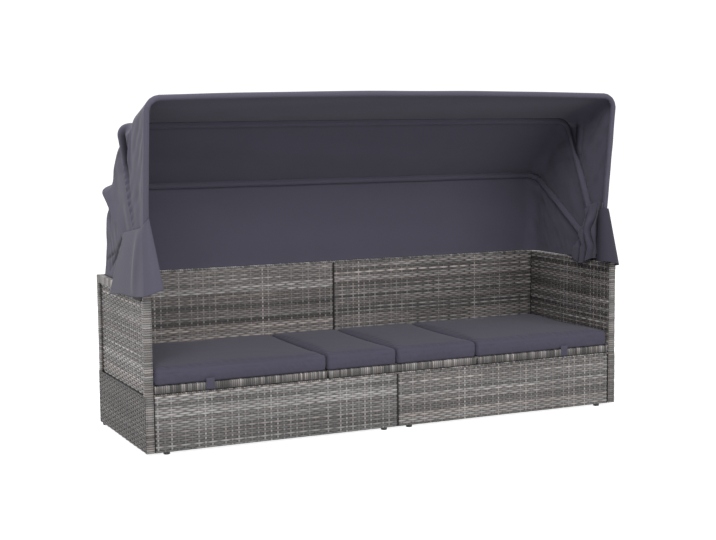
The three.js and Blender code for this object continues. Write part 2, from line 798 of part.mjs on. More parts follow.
// Run values with a given number of steps on each leg, bend and half of the top.
function runSteps(leg, bend, halfTop) {
  const half = [];
  for (let i = 0; i < leg; i++) half.push(i / leg);
  for (let i = 0; i < bend; i++) half.push(1 + i / bend);
  for (let i = 0; i < halfTop; i++) half.push(2 + i / halfTop / 2);
  return [...half, 2.5, ...half.map((run) => 5 - run).reverse()];
}

function bow(shape, order) {
  const stations = runSteps(1, 4, 4).map((run) => {
    const place = bowLine(shape, tongueLength, run);
    return new THREE.Vector3(place.x, 0, place.r);
  });
  const tube = solidOf(sweep(ring(bowTubeRadius, bowTubeRadius - bowTubeWall, 10, 8), stations));
  const pitch = tongueThickness + tongueGap;
  const outer = pivotX + pitch * (1 / 2 - order) + tongueThickness / 2;
  const half = tongueWidth / 2;
  const wide = bowTubeRadius - bowTubeWall / 2;
  const tongueShape = new THREE.Shape();
  tongueShape.moveTo(wide, tongueLength + tongueLap);
  tongueShape.lineTo(-wide, tongueLength + tongueLap);
  tongueShape.lineTo(-wide, tongueLength);
  tongueShape.lineTo(-half, tongueLength - tongueLap);
  tongueShape.lineTo(-half, 0);
  tongueShape.absarc(0, 0, half, Math.PI, 2 * Math.PI, false);
  tongueShape.lineTo(half, tongueLength - tongueLap);
  tongueShape.lineTo(wide, tongueLength);
  const parts = [tube];
  for (const side of [-1, 1]) {
    const x = [side * (outer - tongueThickness), side * outer];
    const bore = bar('x', [0, 0, 0], boltRadius + boltClearance, past(x));
    parts.push(plate(tongueShape, 'x', x).subtract(bore));
  }
  return geometryOf(join(parts));
}

[['rear_bow', rearBow], ['middle_bow', middleBow], ['front_bow', frontBow]].forEach(([name, shape], order) => {
  const piece = addPiece(name, 'steel', bow(shape, order));
  piece.position.set(0, pivotY, pivotZ);
  piece.rotation.x = radians(shape.angle) - Math.PI / 2;
});

// Pivot hardware: a plate outside each arm, pinned to its rail, with a lug that stands above the arm,
// a domed bolt through the lug with a spacing collar, and its nut

function pivotPlate(side) {
  const end = plateLength / 2 - plateHeight / 2;
  const half = plateHeight / 2;
  const lug = plateLugWidth / 2;
  const middle = armRailZ - plateDrop;
  const inner = halfLength + touchGap;
  const x = [side * inner, side * (inner + plateThickness)];
  const shape = new THREE.Shape();
  shape.absarc(pivotY + end, middle, half, -Math.PI / 2, Math.PI / 2, false);
  shape.lineTo(pivotY + lug, middle + half);
  shape.absarc(pivotY, pivotZ, lug, 0, Math.PI, false);
  shape.lineTo(pivotY - lug, middle + half);
  shape.absarc(pivotY - end, middle, half, Math.PI / 2, 3 * Math.PI / 2, false);
  const bore = bar('x', [0, pivotY, pivotZ], boltRadius + boltClearance, past(x));
  return join([
    plate(shape, 'x', x).subtract(bore),
    platePins(side, platePinRadius, halfLength - platePinLength, inner + plateThickness / 2),
  ]);
}

const tongueInnerX = pivotX - (tongueThickness + tongueGap) * 3 / 2 - tongueThickness / 2;
const tongueOuterX = pivotX + (tongueThickness + tongueGap) / 2 + tongueThickness / 2;

function pivotBolt(side) {
  const face = halfLength + 2 * touchGap + plateThickness;
  const tail = tongueInnerX - touchGap - nutHeight - boltTail / 2;
  const head = new THREE.LatheGeometry([
    [0, 0], [boltHeadRadius, 0], [boltHeadRadius * 0.8, boltHeadHeight * 0.7], [0, boltHeadHeight],
  ].map(([r, h]) => new THREE.Vector2(r, h)), 16);
  head.rotateZ(-side * Math.PI / 2);
  head.translate(side * face, pivotY, pivotZ);
  return join([
    bar('x', [0, pivotY, pivotZ], boltRadius, [side * tail, side * (face + boltHeadHeight / 2)]),
    bar('x', [0, pivotY, pivotZ], boltCollarRadius, [side * (tongueOuterX + touchGap), side * halfLength], 16),
    solidOf(head),
  ]);
}

function pivotNut(side) {
  const outer = tongueInnerX - touchGap;
  const x = [side * (outer - nutHeight), side * outer];
  const bore = bar('x', [0, pivotY, pivotZ], boltRadius + boltClearance, past(x));
  return bar('x', [0, pivotY, pivotZ], nutRadius, x, 6).subtract(bore);
}

for (const [label, side] of [['left', -1], ['right', 1]]) {
  addPiece(label + '_pivot_plate', 'steel', geometryOf(pivotPlate(side)));
  addPiece(label + '_pivot_bolt', 'zinc', geometryOf(pivotBolt(side)));
  addPiece(label + '_pivot_nut', 'plastic', geometryOf(pivotNut(side)));
}

// Canopy cloth: three panels stretched from bow to bow, and down to a hem along the back

const clothOffset = bowTubeRadius + touchGap + clothThickness / 2;
const hemZ = armHeight + hemAboveBack;
const hemY = backInnerY + hemSetback;
const hem = {
  reach: Math.hypot(hemY - pivotY, hemZ - pivotZ),
  angle: THREE.MathUtils.radToDeg(Math.atan2(hemZ - pivotZ, hemY - pivotY)),
  arch: 0,
};
const ribs = [frontBow, middleBow, rearBow, hem];

// The tops of the ribs in Y and Z, and the direction of the cloth from each to the next.
const ribTops = ribs.map((rib) => new THREE.Vector2(
  pivotY + rib.reach * Math.cos(radians(rib.angle)),
  pivotZ + rib.reach * Math.sin(radians(rib.angle)),
));
const chords = ribTops.slice(1).map((top, i) => top.clone().sub(ribTops[i]).normalize());

// How far the cloth stands off a rib's top, so that it just clears the tube on both sides.
const standOffs = ribs.map((_, i) => {
  const before = chords[Math.max(i - 1, 0)];
  const after = chords[Math.min(i, chords.length - 1)];
  const outwards = (chord) => new THREE.Vector2(-chord.y, chord.x);
  const mitre = outwards(before).add(outwards(after)).normalize();
  const cosine = mitre.dot(outwards(after));
  return mitre.multiplyScalar((clothOffset + clothEase) / cosine);
});

function clothOnRib(index, run) {
  const rib = ribs[index];
  const place = bowLine(rib, clothStart, run);
  const turn = radians(rib.angle);
  const level = Math.sin(place.turn);
  return new THREE.Vector3(
    place.x + place.side * Math.cos(place.turn) * clothOffset,
    pivotY + place.r * Math.cos(turn) + level * standOffs[index].x,
    pivotZ + place.r * Math.sin(turn) + level * standOffs[index].y,
  );
}

// The turned edge of the cloth in front of the front bow, wrapped round the tube by some angle.
function clothRoundFrontBow(run, wrap) {
  const place = bowLine(frontBow, clothStart, run);
  const turn = radians(frontBow.angle);
  const level = Math.sin(place.turn);
  const lean = Math.cos(place.turn);
  const stand = standOffs[0].length() / Math.cos(radians(10));
  const out = new THREE.Vector3(lean * place.side, standOffs[0].x * level, standOffs[0].y * level);
  out.y /= standOffs[0].length();
  out.z /= standOffs[0].length();
  const ahead = new THREE.Vector3(0, -Math.sin(turn) * lean - chords[0].x * level,
    Math.cos(turn) * lean - chords[0].y * level).normalize();
  const centre = new THREE.Vector3(place.x, pivotY + place.r * Math.cos(turn), pivotZ + place.r * Math.sin(turn));
  return centre.addScaledVector(out.normalize(), stand * Math.cos(wrap)).addScaledVector(ahead, stand * Math.sin(wrap));
}

// A point of the cloth between one rib and the next. Its sides fold in and its roof sags a little.
function clothBetween(index, run, share) {
  const line = bowLine(ribs[index], clothStart, run);
  const level = Math.sin(line.turn);
  const slack = Math.sin(Math.PI * share);
  const point = clothOnRib(index, run).lerp(clothOnRib(index + 1, run), share);
  const ripple = (1 - Math.cos(2 * Math.PI * sideFoldCounts[index] * share)) / 2;
  const height = Math.min(1, line.r / (ribs[index].reach - bowCorner));
  point.x -= line.side * (1 - level) * slack * sideFold * ripple * height;
  point.y += level * slack * roofSag * chords[index].y;
  point.z -= level * slack * roofSag * chords[index].x;
  return point;
}

function canopyPanel(index, rows) {
  const runs = runSteps(5, 4, 3);
  const wraps = index === 0 ? [84, 56, 28] : [];
  const place = (i, j) => {
    const run = runs[i];
    if (j < wraps.length) return clothRoundFrontBow(run, radians(wraps[j]));
    const seam = clothSeam / clothOnRib(index, run).distanceTo(clothOnRib(index + 1, run));
    return clothBetween(index, run, lerp(index === 0 ? 0 : seam, 1 - seam, (j - wraps.length) / rows));
  };
  return sheet(runs.length - 1, rows + wraps.length, clothThickness, place, 1);
}

addPiece('canopy_front_panel', 'canopy', canopyPanel(0, 8));
addPiece('canopy_middle_panel', 'canopy', canopyPanel(1, 7));
addPiece('canopy_rear_panel', 'canopy', canopyPanel(2, 6));

// Side flaps: sewn to the canopy's side, they spread over the arm and wrap round its front end

// How far out a flap lies on the canopy's side at a place along its top seam.
function seamX(y, z) {
  const angle = THREE.MathUtils.radToDeg(Math.atan2(z - pivotZ, y - pivotY));
  const index = angle > middleBow.angle ? 0 : 1;
  const share = THREE.MathUtils.inverseLerp(ribs[index].angle, ribs[index + 1].angle, angle);
  const leg = ribs[index].reach - bowCorner;
  const run = THREE.MathUtils.inverseLerp(clothStart, leg, Math.hypot(y - pivotY, z - pivotZ));
  return clothThickness + flapSeamGap - clothBetween(index, run, Math.max(share, 0)).x;
}

function flap(side) {
  const outX = halfLength + plateThickness + boltHeadHeight + flapClearance;
  const topFrontY = pivotY - flapTopFront;
  const topFrontZ = armHeight + flapTopRise;
  const returnX = innerX - flapFrontReturn / 2;
  const returnZ = armHeight + flapFrontRise;
  const cornerZ = armHeight - flapCornerDrop;
  const rearZ = armHeight - flapRearDrop;
  const topLine = new THREE.LineCurve(
    new THREE.Vector2(topFrontY, topFrontZ),
    new THREE.Vector2(topFrontY + flapTopLength, topFrontZ - flapTopFall),
  );
  const bottomLine = new THREE.CatmullRomCurve3([
    new THREE.Vector3(returnX, frontY - canopyOverhang + clothThickness, returnZ),
    new THREE.Vector3(halfLength, frontY - canopyOverhang * 0.72, lerp(returnZ, cornerZ, 0.6)),
    new THREE.Vector3(outX, frontY - canopyOverhang * 0.3, cornerZ),
    new THREE.Vector3(outX, lerp(frontY, flapRearY, 0.45), lerp(cornerZ, rearZ, 0.45)),
    new THREE.Vector3(outX, flapRearY, rearZ),
  ], false, 'centripetal');
  const columns = 20;
  const rows = 8;
  const place = (i, j) => {
    const u = i / columns;
    const v = j / rows;
    const seam = topLine.getPoint(u);
    const top = new THREE.Vector3(seamX(seam.x, seam.y), seam.x, seam.y);
    const point = top.clone().lerp(bottomLine.getPointAt(u), v);
    point.x += (outX - top.x) * (v ** 0.7 - v) * Math.min(1, columns * u);
    point.x += flapFold * v * Math.sin(2 * Math.PI * flapFoldCount * u) * Math.min(1, 5 * u);
    return new THREE.Vector3(side * point.x, point.y, point.z);
  };
  return sheet(columns, rows, clothThickness, place, -side);
}

addPiece('left_flap', 'canopy', flap(-1));
addPiece('right_flap', 'canopy', flap(1));

export default daybed;
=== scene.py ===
import json
import math

import bpy
import numpy as np
from mathutils import Matrix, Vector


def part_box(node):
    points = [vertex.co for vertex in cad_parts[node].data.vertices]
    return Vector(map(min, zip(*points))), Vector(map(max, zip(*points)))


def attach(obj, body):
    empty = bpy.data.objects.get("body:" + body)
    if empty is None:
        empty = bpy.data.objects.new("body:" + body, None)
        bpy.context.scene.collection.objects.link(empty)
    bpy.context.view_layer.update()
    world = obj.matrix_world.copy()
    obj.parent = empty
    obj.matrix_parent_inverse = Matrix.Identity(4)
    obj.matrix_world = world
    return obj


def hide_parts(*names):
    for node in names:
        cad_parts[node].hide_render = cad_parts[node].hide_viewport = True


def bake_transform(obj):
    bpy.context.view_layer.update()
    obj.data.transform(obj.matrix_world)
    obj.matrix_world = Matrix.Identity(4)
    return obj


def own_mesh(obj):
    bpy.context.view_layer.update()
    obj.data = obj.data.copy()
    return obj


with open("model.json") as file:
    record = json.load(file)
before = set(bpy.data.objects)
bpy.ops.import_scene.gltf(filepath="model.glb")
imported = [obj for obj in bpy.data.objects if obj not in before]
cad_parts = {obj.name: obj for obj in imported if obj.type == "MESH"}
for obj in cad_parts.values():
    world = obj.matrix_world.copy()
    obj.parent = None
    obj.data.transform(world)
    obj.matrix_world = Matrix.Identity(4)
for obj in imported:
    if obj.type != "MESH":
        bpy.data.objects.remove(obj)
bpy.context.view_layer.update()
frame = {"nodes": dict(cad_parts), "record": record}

# Camera: at the photograph's viewing angle, found by matching the bed's straight edges.
# The focal length is the photograph's, in pixels of its width.
photo_width = 716
photo_focal = 1433.2
camera_place = (-2.43236, -5.10065, 1.21512)
camera_yaw, camera_pitch, camera_roll = (math.radians(turn) for turn in (25.13, -6.324, -0.4836))


def add_object(name, data):
    """A new object of the scene, which holds a camera, a lamp or a mesh."""
    made = bpy.data.objects.new(name, data)
    bpy.context.scene.collection.objects.link(made)
    return made


camera_data = bpy.data.cameras.new("photo_camera")
camera_data.sensor_width = 36
camera_data.lens = photo_focal / photo_width * camera_data.sensor_width
camera_data.clip_end = 100
camera = add_object("photo_camera", camera_data)
level_share = math.cos(camera_pitch)
ahead = np.array([math.sin(camera_yaw) * level_share, math.cos(camera_yaw) * level_share,
                  math.sin(camera_pitch)])
level = np.cross(ahead, [0, 0, 1])
level /= np.linalg.norm(level)
upward = np.cross(level, ahead)
right = level * math.cos(camera_roll) + upward * math.sin(camera_roll)
above = upward * math.cos(camera_roll) - level * math.sin(camera_roll)
rows = [[*axes, place] for axes, place in zip(np.stack([right, above, -ahead], 1).tolist(), camera_place)]
camera.matrix_world = Matrix([*rows, [0, 0, 0, 1]])
bpy.context.scene.camera = camera
bpy.context.scene.view_settings.view_transform = "Standard"


# Studio: a plain pale floor with soft lamps, and a white backdrop that only the camera,
# gloss and glass see. The two classes below write the nodes of every material.
class Value:
    """A socket of a shader node. Sums written with it add Math nodes to the same material."""

    def __init__(self, finish, socket):
        self.finish = finish
        self.socket = socket

    def maths(self, operation, *values):
        return self.finish.node("Math", {"operation": operation}, dict(enumerate(values)))

    def __add__(self, other):
        return self.maths("ADD", self, other)

    def __radd__(self, other):
        return self.maths("ADD", other, self)

    def __sub__(self, other):
        return self.maths("SUBTRACT", self, other)

    def __mul__(self, other):
        return self.maths("MULTIPLY", self, other)


class Finish:
    """One material. Every node comes from node(), which sets its settings before its sockets."""

    def __init__(self, name):
        self.material = bpy.data.materials.new(name)
        self.material.use_nodes = True
        self.tree = self.material.node_tree
        self.tree.nodes.clear()

    def node(self, kind, settings=None, sockets=None, output=0):
        made = self.tree.nodes.new("ShaderNode" + kind)
        for key, value in (settings or {}).items():
            if key == "stops":
                ramp = made.color_ramp.elements
                for place, (stop, colour) in enumerate(value):
                    element = ramp[place] if place < 2 else ramp.new(stop)
                    element.position = stop
                    element.color = (*colour, 1)
            else:
                setattr(made, key, value)
        for key, value in (sockets or {}).items():
            if isinstance(value, Value):
                self.tree.links.new(value.socket, made.inputs[key])
            else:
                made.inputs[key].default_value = value
        return Value(self, made.outputs[output]) if made.outputs else None

    def mix(self, factor, first, second, blend="MIX"):
        """Two colours mixed by a factor."""
        first, second = ((*c, 1) if isinstance(c, tuple) and len(c) == 3 else c for c in (first, second))
        settings = {"data_type": "RGBA", "blend_type": blend}
        return self.node("Mix", settings, {0: factor, 6: first, 7: second}, 2)

    def place(self, scale=(1, 1, 1)):
        """Object coordinates in metres, stretched by scale."""
        where = self.node("TexCoord", output="Object")
        return self.node("Mapping", {"vector_type": "POINT"}, {"Vector": where, "Scale": scale})

    def noise(self, where, scale, detail=2, roughness=0.5):
        return self.node("TexNoise", {"noise_dimensions": "3D"},
                         {"Vector": where, "Scale": scale, "Detail": detail, "Roughness": roughness})

    def attribute(self, name):
        return self.node("Attribute", {"attribute_name": name}, output="Fac")

    def bump(self, height, distance, strength=1, under=None):
        sockets = {"Height": height, "Distance": distance, "Strength": strength}
        if under:
            sockets["Normal"] = under
        return self.node("Bump", {}, sockets)

    def surface(self, **sockets):
        sockets = {key.replace("_", " "): value for key, value in sockets.items()}
        return self.show(self.node("BsdfPrincipled", {}, sockets))

    def show(self, shader):
        self.node("OutputMaterial", {}, {"Surface": shader})
        return self.material


def seen_directly(finish):
    """1 for rays of the camera, gloss and glass, 0 for rays that light the object."""
    rays = ("Is Camera Ray", "Is Glossy Ray", "Is Transmission Ray")
    camera_ray, gloss_ray, glass_ray = (finish.node("LightPath", output=name) for name in rays)
    return camera_ray.maths("MAXIMUM", camera_ray, gloss_ray.maths("MAXIMUM", gloss_ray, glass_ray))


floor_finish = Finish("pale_floor")
floor_lit = floor_finish.node("BsdfDiffuse", {}, {"Color": (0.5, 0.5, 0.5, 1)})
floor_glow = floor_finish.node("Emission", {}, {"Color": (1, 1, 1, 1), "Strength": 0.9})
floor_both = floor_finish.node("AddShader", {}, {0: floor_lit, 1: floor_glow})
floor_seen = floor_finish.node("MixShader", {}, {0: seen_directly(floor_finish), 1: floor_lit, 2: floor_both})
floor_finish.show(floor_seen)
bpy.ops.mesh.primitive_plane_add(size=60, location=(0, 0, 0))
floor = bpy.context.object
floor.name = "studio_floor"
floor.data.materials.append(floor_finish.material)

world = bpy.data.worlds.new("studio_world")
bpy.context.scene.world = world
world.use_nodes = True
world.node_tree.nodes.clear()
air = Finish.__new__(Finish)
air.tree = world.node_tree
room_light = air.node("Background", {}, {"Color": (0.97, 0.98, 1, 1), "Strength": 0.52})
backdrop = air.node("Background", {}, {"Color": (1, 1, 1, 1), "Strength": 1.1})
world_seen = air.node("MixShader", {}, {0: seen_directly(air), 1: room_light, 2: backdrop})
air.node("OutputWorld", {}, {"Surface": world_seen})


def lamp(name, place, target, width, height, power):
    """A soft rectangular lamp at a place, turned to face a target."""
    data = bpy.data.lights.new(name, "AREA")
    data.shape = "RECTANGLE"
    data.size, data.size_y = width, height
    data.energy = power
    made = add_object(name, data)
    made.location = place
    aim = np.subtract(target, place)
    lean = math.acos(-aim[2] / np.linalg.norm(aim))
    made.rotation_euler = (lean, 0, math.atan2(aim[1], aim[0]) - math.pi / 2)


lamp("key_softbox", (-2.2, -4.0, 4.2), (0, 0, 0.5), 3.2, 2.4, 180)
lamp("front_fill", (2.6, -5.2, 2.6), (0, 0, 0.5), 3, 2.4, 80)
lamp("side_fill", (-5.0, 0.2, 3.0), (-0.8, 0, 0.5), 2.4, 2.2, 50)
lamp("top_fill", (0.2, 1.2, 4.6), (0, 0, 0.8), 4, 3, 80)


# Woven resin: flat extruded strands about 7 mm wide in mixed greys and browns, each a colour of its own.
# They are woven in rows over upright stakes, and wound side by side round the posts and rails.
row_pitch = 0.0083
stake_pitch = 0.0252
stake_width = 0.0066
strand_swing = 0.0012
strand_rest = -0.0010
strand_bevel = 0.0006
strand_end, end_dip, wound_end = 0.006, 0.0045, 0.004
strand_length = 0.27
middle_tone = 0.57
backing_depth = 0.0030
upright = np.array([0.0, 0.0, 1.0])


def rise(value, length):
    """0 below 0, 1 beyond a length, and straight between them."""
    return np.clip(value / length, 0, 1)


def resin_finish():
    """Strand colours run from charcoal to light grey by the tone of each strand, with a brown tint on some,
    fine streaks along the strand, and painted shade at its edges and ends and where it dips behind a stake."""
    resin = Finish("woven_resin")
    tone = resin.attribute("tone")
    warm = resin.attribute("warm")
    hollow = resin.attribute("hollow")
    lie = resin.node("UVMap", {"uv_map": "strand"})
    streaks = resin.noise(resin.node("Mapping", {}, {"Vector": lie, "Scale": (14, 900, 1)}), 1, 2)
    patches = resin.noise(resin.place(), 5, 2)
    shade = tone + (streaks - 0.5) * 0.35 + (patches - 0.5) * 0.25
    grey = resin.node("ValToRGB", {"stops": [(0.0, (0.055, 0.054, 0.053)), (1.0, (0.52, 0.51, 0.50)),
                                             (0.35, (0.15, 0.147, 0.143)), (0.7, (0.30, 0.293, 0.287))]},
                      {"Fac": shade})
    tinted = resin.mix(warm * 0.8, grey, (1.06, 0.94, 0.90), "MULTIPLY")
    # Painted shade: darkens the strands' edges, the dips behind the stakes, the ends of runs and the backing.
    painted_shaded = resin.mix(hollow, tinted, (0.20, 0.19, 0.19), "MULTIPLY")
    ribs = resin.noise(resin.node("Mapping", {}, {"Vector": lie, "Scale": (6, 1700, 1)}), 1, 1)
    return resin.surface(Base_Color=painted_shaded, Roughness=0.42 + streaks * 0.25, IOR=1.46,
                         Normal=resin.bump(ribs, 0.00025, 0.6))


resin = resin_finish()


def grid_faces(count, length, width, flipped):
    """Quads of many equal grids, each of length by width points, laid one after another."""
    a, b = np.meshgrid(np.arange(length - 1), np.arange(width - 1), indexing="ij")
    first = (a * width + b).ravel()
    quads = np.stack([first, first + width, first + width + 1, first + 1], 1)
    if flipped:
        quads = quads[:, ::-1]
    return (quads[None] + (np.arange(count) * length * width)[:, None, None]).reshape(-1, 4)


def patch(points, tone, warm, hollow, lie, flipped=False):
    """A bundle of equal strand grids of shape (strands, along, across, 3) with its colour and painted shade
    attributes.
    """
    count, length, width, _ = points.shape
    shape = (count, length, width)
    return {"points": points.reshape(-1, 3), "faces": grid_faces(count, length, width, flipped),
            "tone": np.broadcast_to(tone, shape).ravel(), "warm": np.broadcast_to(warm, shape).ravel(),
            "hollow": np.broadcast_to(hollow, shape).ravel(),
            "lie": np.stack([np.broadcast_to(part, shape).ravel() for part in lie], 1)}


def strand_colours(random, count):
    """Tones of neighbouring strands: mostly mid grey, with runs of dark ones and a light one now and then."""
    knots = np.arange(0, count + 6, 6)
    drift = np.interp(np.arange(count), knots, random.uniform(-0.14, 0.14, len(knots)))
    steps = random.choice([-0.3, -0.12, 0.04, 0.18, 0.36], count, p=[0.24, 0.2, 0.24, 0.2, 0.12])
    tone = np.clip(middle_tone + drift + steps, 0.08, 1)
    warm = np.clip(random.normal(0.45, 0.35, count), 0, 1)
    return tone[:, None, None], warm[:, None, None]


def woven_face(corner, along, out, width, height, seed, shade=0.0, brown=0.0, contrast=1.0):
    """A field of rows over stakes. A strand's height is a cosine of its place along the row with the next
    row's sign turned, so each row passes in front of every other stake and behind the rest. Its edges, the
    dips behind the stakes and the field's ends are darkened as painted shade, and its tone changes where one
    length of strand ends and the next begins. shade and brown set the field lighter or browner than the
    others, the shade partly as painted light and shade, and contrast how far its strands differ."""
    random = np.random.default_rng(seed)
    along, out = np.array(along, float), np.array(out, float)
    rows, stakes = round(height / row_pitch), round(width / stake_pitch)
    row_step, stake_step = height / rows, width / stakes
    across = np.array([-0.48, -0.31, 0.31, 0.48])
    bevel = np.array([-1, 0, 0, -1]) * strand_bevel
    edge_shade = np.array([0.85, 0, 0, 0.85])
    flipped = np.dot(np.cross(along, upright), out) < 0

    def placed(run, high, lift):
        """Points by their run along the face, their height and their lift off it."""
        run, high = (np.broadcast_to(part, lift.shape)[..., None] for part in (run, high))
        return np.array(corner) + along * run + upright * high + out * lift[..., None]

    s = np.linspace(0, width, 4 * stakes + 1)[None, :, None]
    row = np.arange(rows)[:, None, None]
    swing = np.cos(np.pi * (s / stake_step - 0.5 + row))
    ends = rise(np.minimum(s, width - s), strand_end)
    wander = 0.0004 * np.sin(s * random.uniform(5, 14, (rows, 1, 1)) + random.uniform(0, 6, (rows, 1, 1)))
    lift = strand_rest + strand_swing * swing + bevel - end_dip * (1 - ends)
    points = placed(s, (row + 0.5 + across) * row_step + wander, lift)
    tone, warm = strand_colours(random, rows)
    splices = random.uniform(-0.15, 0.15, (rows, 12))
    lengths = (s / strand_length + random.uniform(0, 1, (rows, 1, 1))).astype(int)[..., 0]
    tone = tone - middle_tone + np.take_along_axis(splices, lengths, 1)[..., None]
    tone = middle_tone + contrast * tone + shade
    warm = np.clip(warm + brown, 0, 1)
    # Painted shade: strand edges, dips behind the stakes and the field's ends are darkened.
    dips = ((1 - swing) / 2) ** 1.6
    strands = patch(points, tone, warm, np.clip(0.7 * dips + 1.2 * (1 - ends) + edge_shade, 0, 1),
                    (s + row * 0.37, across * row_step), flipped)

    t = np.linspace(0, height, 2 * rows + 1)[None, :, None]
    stake = np.arange(stakes)[:, None, None]
    swing = -np.cos(np.pi * (t / row_step - 0.5 + stake))
    side = np.array([-0.5, 0, 0.5]) * stake_width
    lift = strand_rest + strand_swing * swing - np.array([0.0005, 0, 0.0005])
    lift[:, [0, -1], :] = strand_rest - 0.0012
    points = placed((stake + 0.5) * stake_step + side, t, lift)
    tone, warm = strand_colours(random, stakes)
    tone, warm = 0.56 + contrast * (tone - 0.6) + shade, np.clip(warm + brown, 0, 1)
    # Painted shade on each stake where it passes behind a row.
    stakes_patch = patch(points, tone, warm, 0.7 * (1 - swing) / 2, (t + stake * 0.37, side), not flipped)
    return [strands, stakes_patch]


def round_turn(corners, radius=0.003):
    """The line of one turn round a rail: straight runs whose corners are rounded by short arcs."""
    corners = [np.array(corner, float) for corner in corners]
    line = [corners[0]]
    for before, corner, after in zip(corners, corners[1:], corners[2:]):
        back = (before - corner) / np.linalg.norm(before - corner) * radius
        on = (after - corner) / np.linalg.norm(after - corner) * radius
        line += [corner + back, corner + 0.3 * (back + on), corner + on]
    return np.array([*line, corners[-1]])


def wound_strands(corners, stack, start, length, seed, brighter=0.0, contrast=1.0):
    """Strands wound round a rail side by side. Each is the turn's line carried along stack, with its middle
    raised over its two edges. The turn runs so that stack x its direction points outwards."""
    random = np.random.default_rng(seed)
    stack = np.array(stack, float)
    line = round_turn(corners)
    ahead = np.gradient(line, axis=0)
    out = np.cross(stack, ahead)
    out /= np.linalg.norm(out, axis=1)[:, None]
    turns = max(1, round(length / row_pitch))
    step = length / turns
    across = np.array([-0.47, -0.3, 0.3, 0.47])
    turn = np.arange(turns)[:, None, None]
    raised = random.uniform(-0.0004, 0.0004, (turns, 1, 1))
    lift = -0.0006 + raised + np.array([-0.0009, 0, 0, -0.0009]) + np.zeros((1, len(line), 1))
    away = start + (turn + 0.5 + across) * step + np.zeros((1, len(line), 1))
    points = line[None, :, None, :] + stack * away[..., None] + out[None, :, None, :] * lift[..., None]
    tone, warm = strand_colours(random, turns)
    run = np.concatenate([[0], np.cumsum(np.linalg.norm(np.diff(line, axis=0), axis=1))])[None, :, None]
    ends = rise(np.minimum(run, run[:, -1:] - run), wound_end)
    # Painted shade along each strand's two edges and near the ends of its turn.
    hollow = np.clip(np.array([0.95, 0, 0, 0.95]) + 0.9 * (1 - ends), 0, 1)
    tone = middle_tone + contrast * (tone - middle_tone) + brighter
    return patch(points, tone, warm, hollow, (run + turn * 0.37, across * step), True)


def slab(low, high):
    """A plain box, the ground seen between the strands: charcoal, darkened all over as painted shade."""
    x, y, z = np.meshgrid(*zip(low, high), indexing="ij")
    points = np.stack([x.ravel(), y.ravel(), z.ravel()], 1)
    faces = np.array([[0, 1, 3, 2], [4, 6, 7, 5], [0, 4, 5, 1], [2, 3, 7, 6], [0, 2, 6, 4], [1, 5, 7, 3]])
    flat = np.zeros(8)
    return {"points": points, "faces": faces, "tone": flat, "warm": flat + 0.5, "hollow": flat + 1,
            "lie": np.zeros((8, 2))}


def woven_piece(name, parts, body, *nodes):
    """Joins bundles of strands into one mesh with its colour and painted shade attributes, which rides on a
    body and replaces the nodes."""
    starts = np.cumsum([0] + [len(part["points"]) for part in parts])
    points = np.concatenate([part["points"] for part in parts])
    faces = np.concatenate([part["faces"] + start for part, start in zip(parts, starts)]).astype(np.int32)
    mesh = bpy.data.meshes.new(name)
    mesh.vertices.add(len(points))
    mesh.vertices.foreach_set("co", points.astype(np.float32).ravel())
    mesh.loops.add(faces.size)
    mesh.loops.foreach_set("vertex_index", faces.ravel())
    mesh.polygons.add(len(faces))
    mesh.polygons.foreach_set("loop_start", np.arange(0, faces.size, 4, dtype=np.int32))
    mesh.update(calc_edges=True)
    mesh.shade_smooth()
    for key in ("tone", "warm", "hollow"):
        layer = mesh.attributes.new(key, "FLOAT", "POINT")
        layer.data.foreach_set("value", np.concatenate([part[key] for part in parts]).astype(np.float32))
    lie = np.concatenate([part["lie"] for part in parts])[faces.ravel()]
    mesh.uv_layers.new(name="strand").data.foreach_set("uv", lie.astype(np.float32).ravel())
    mesh.materials.append(resin)
    piece = add_object(name, mesh)
    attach(piece, body)
    if nodes:
        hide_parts(*nodes)


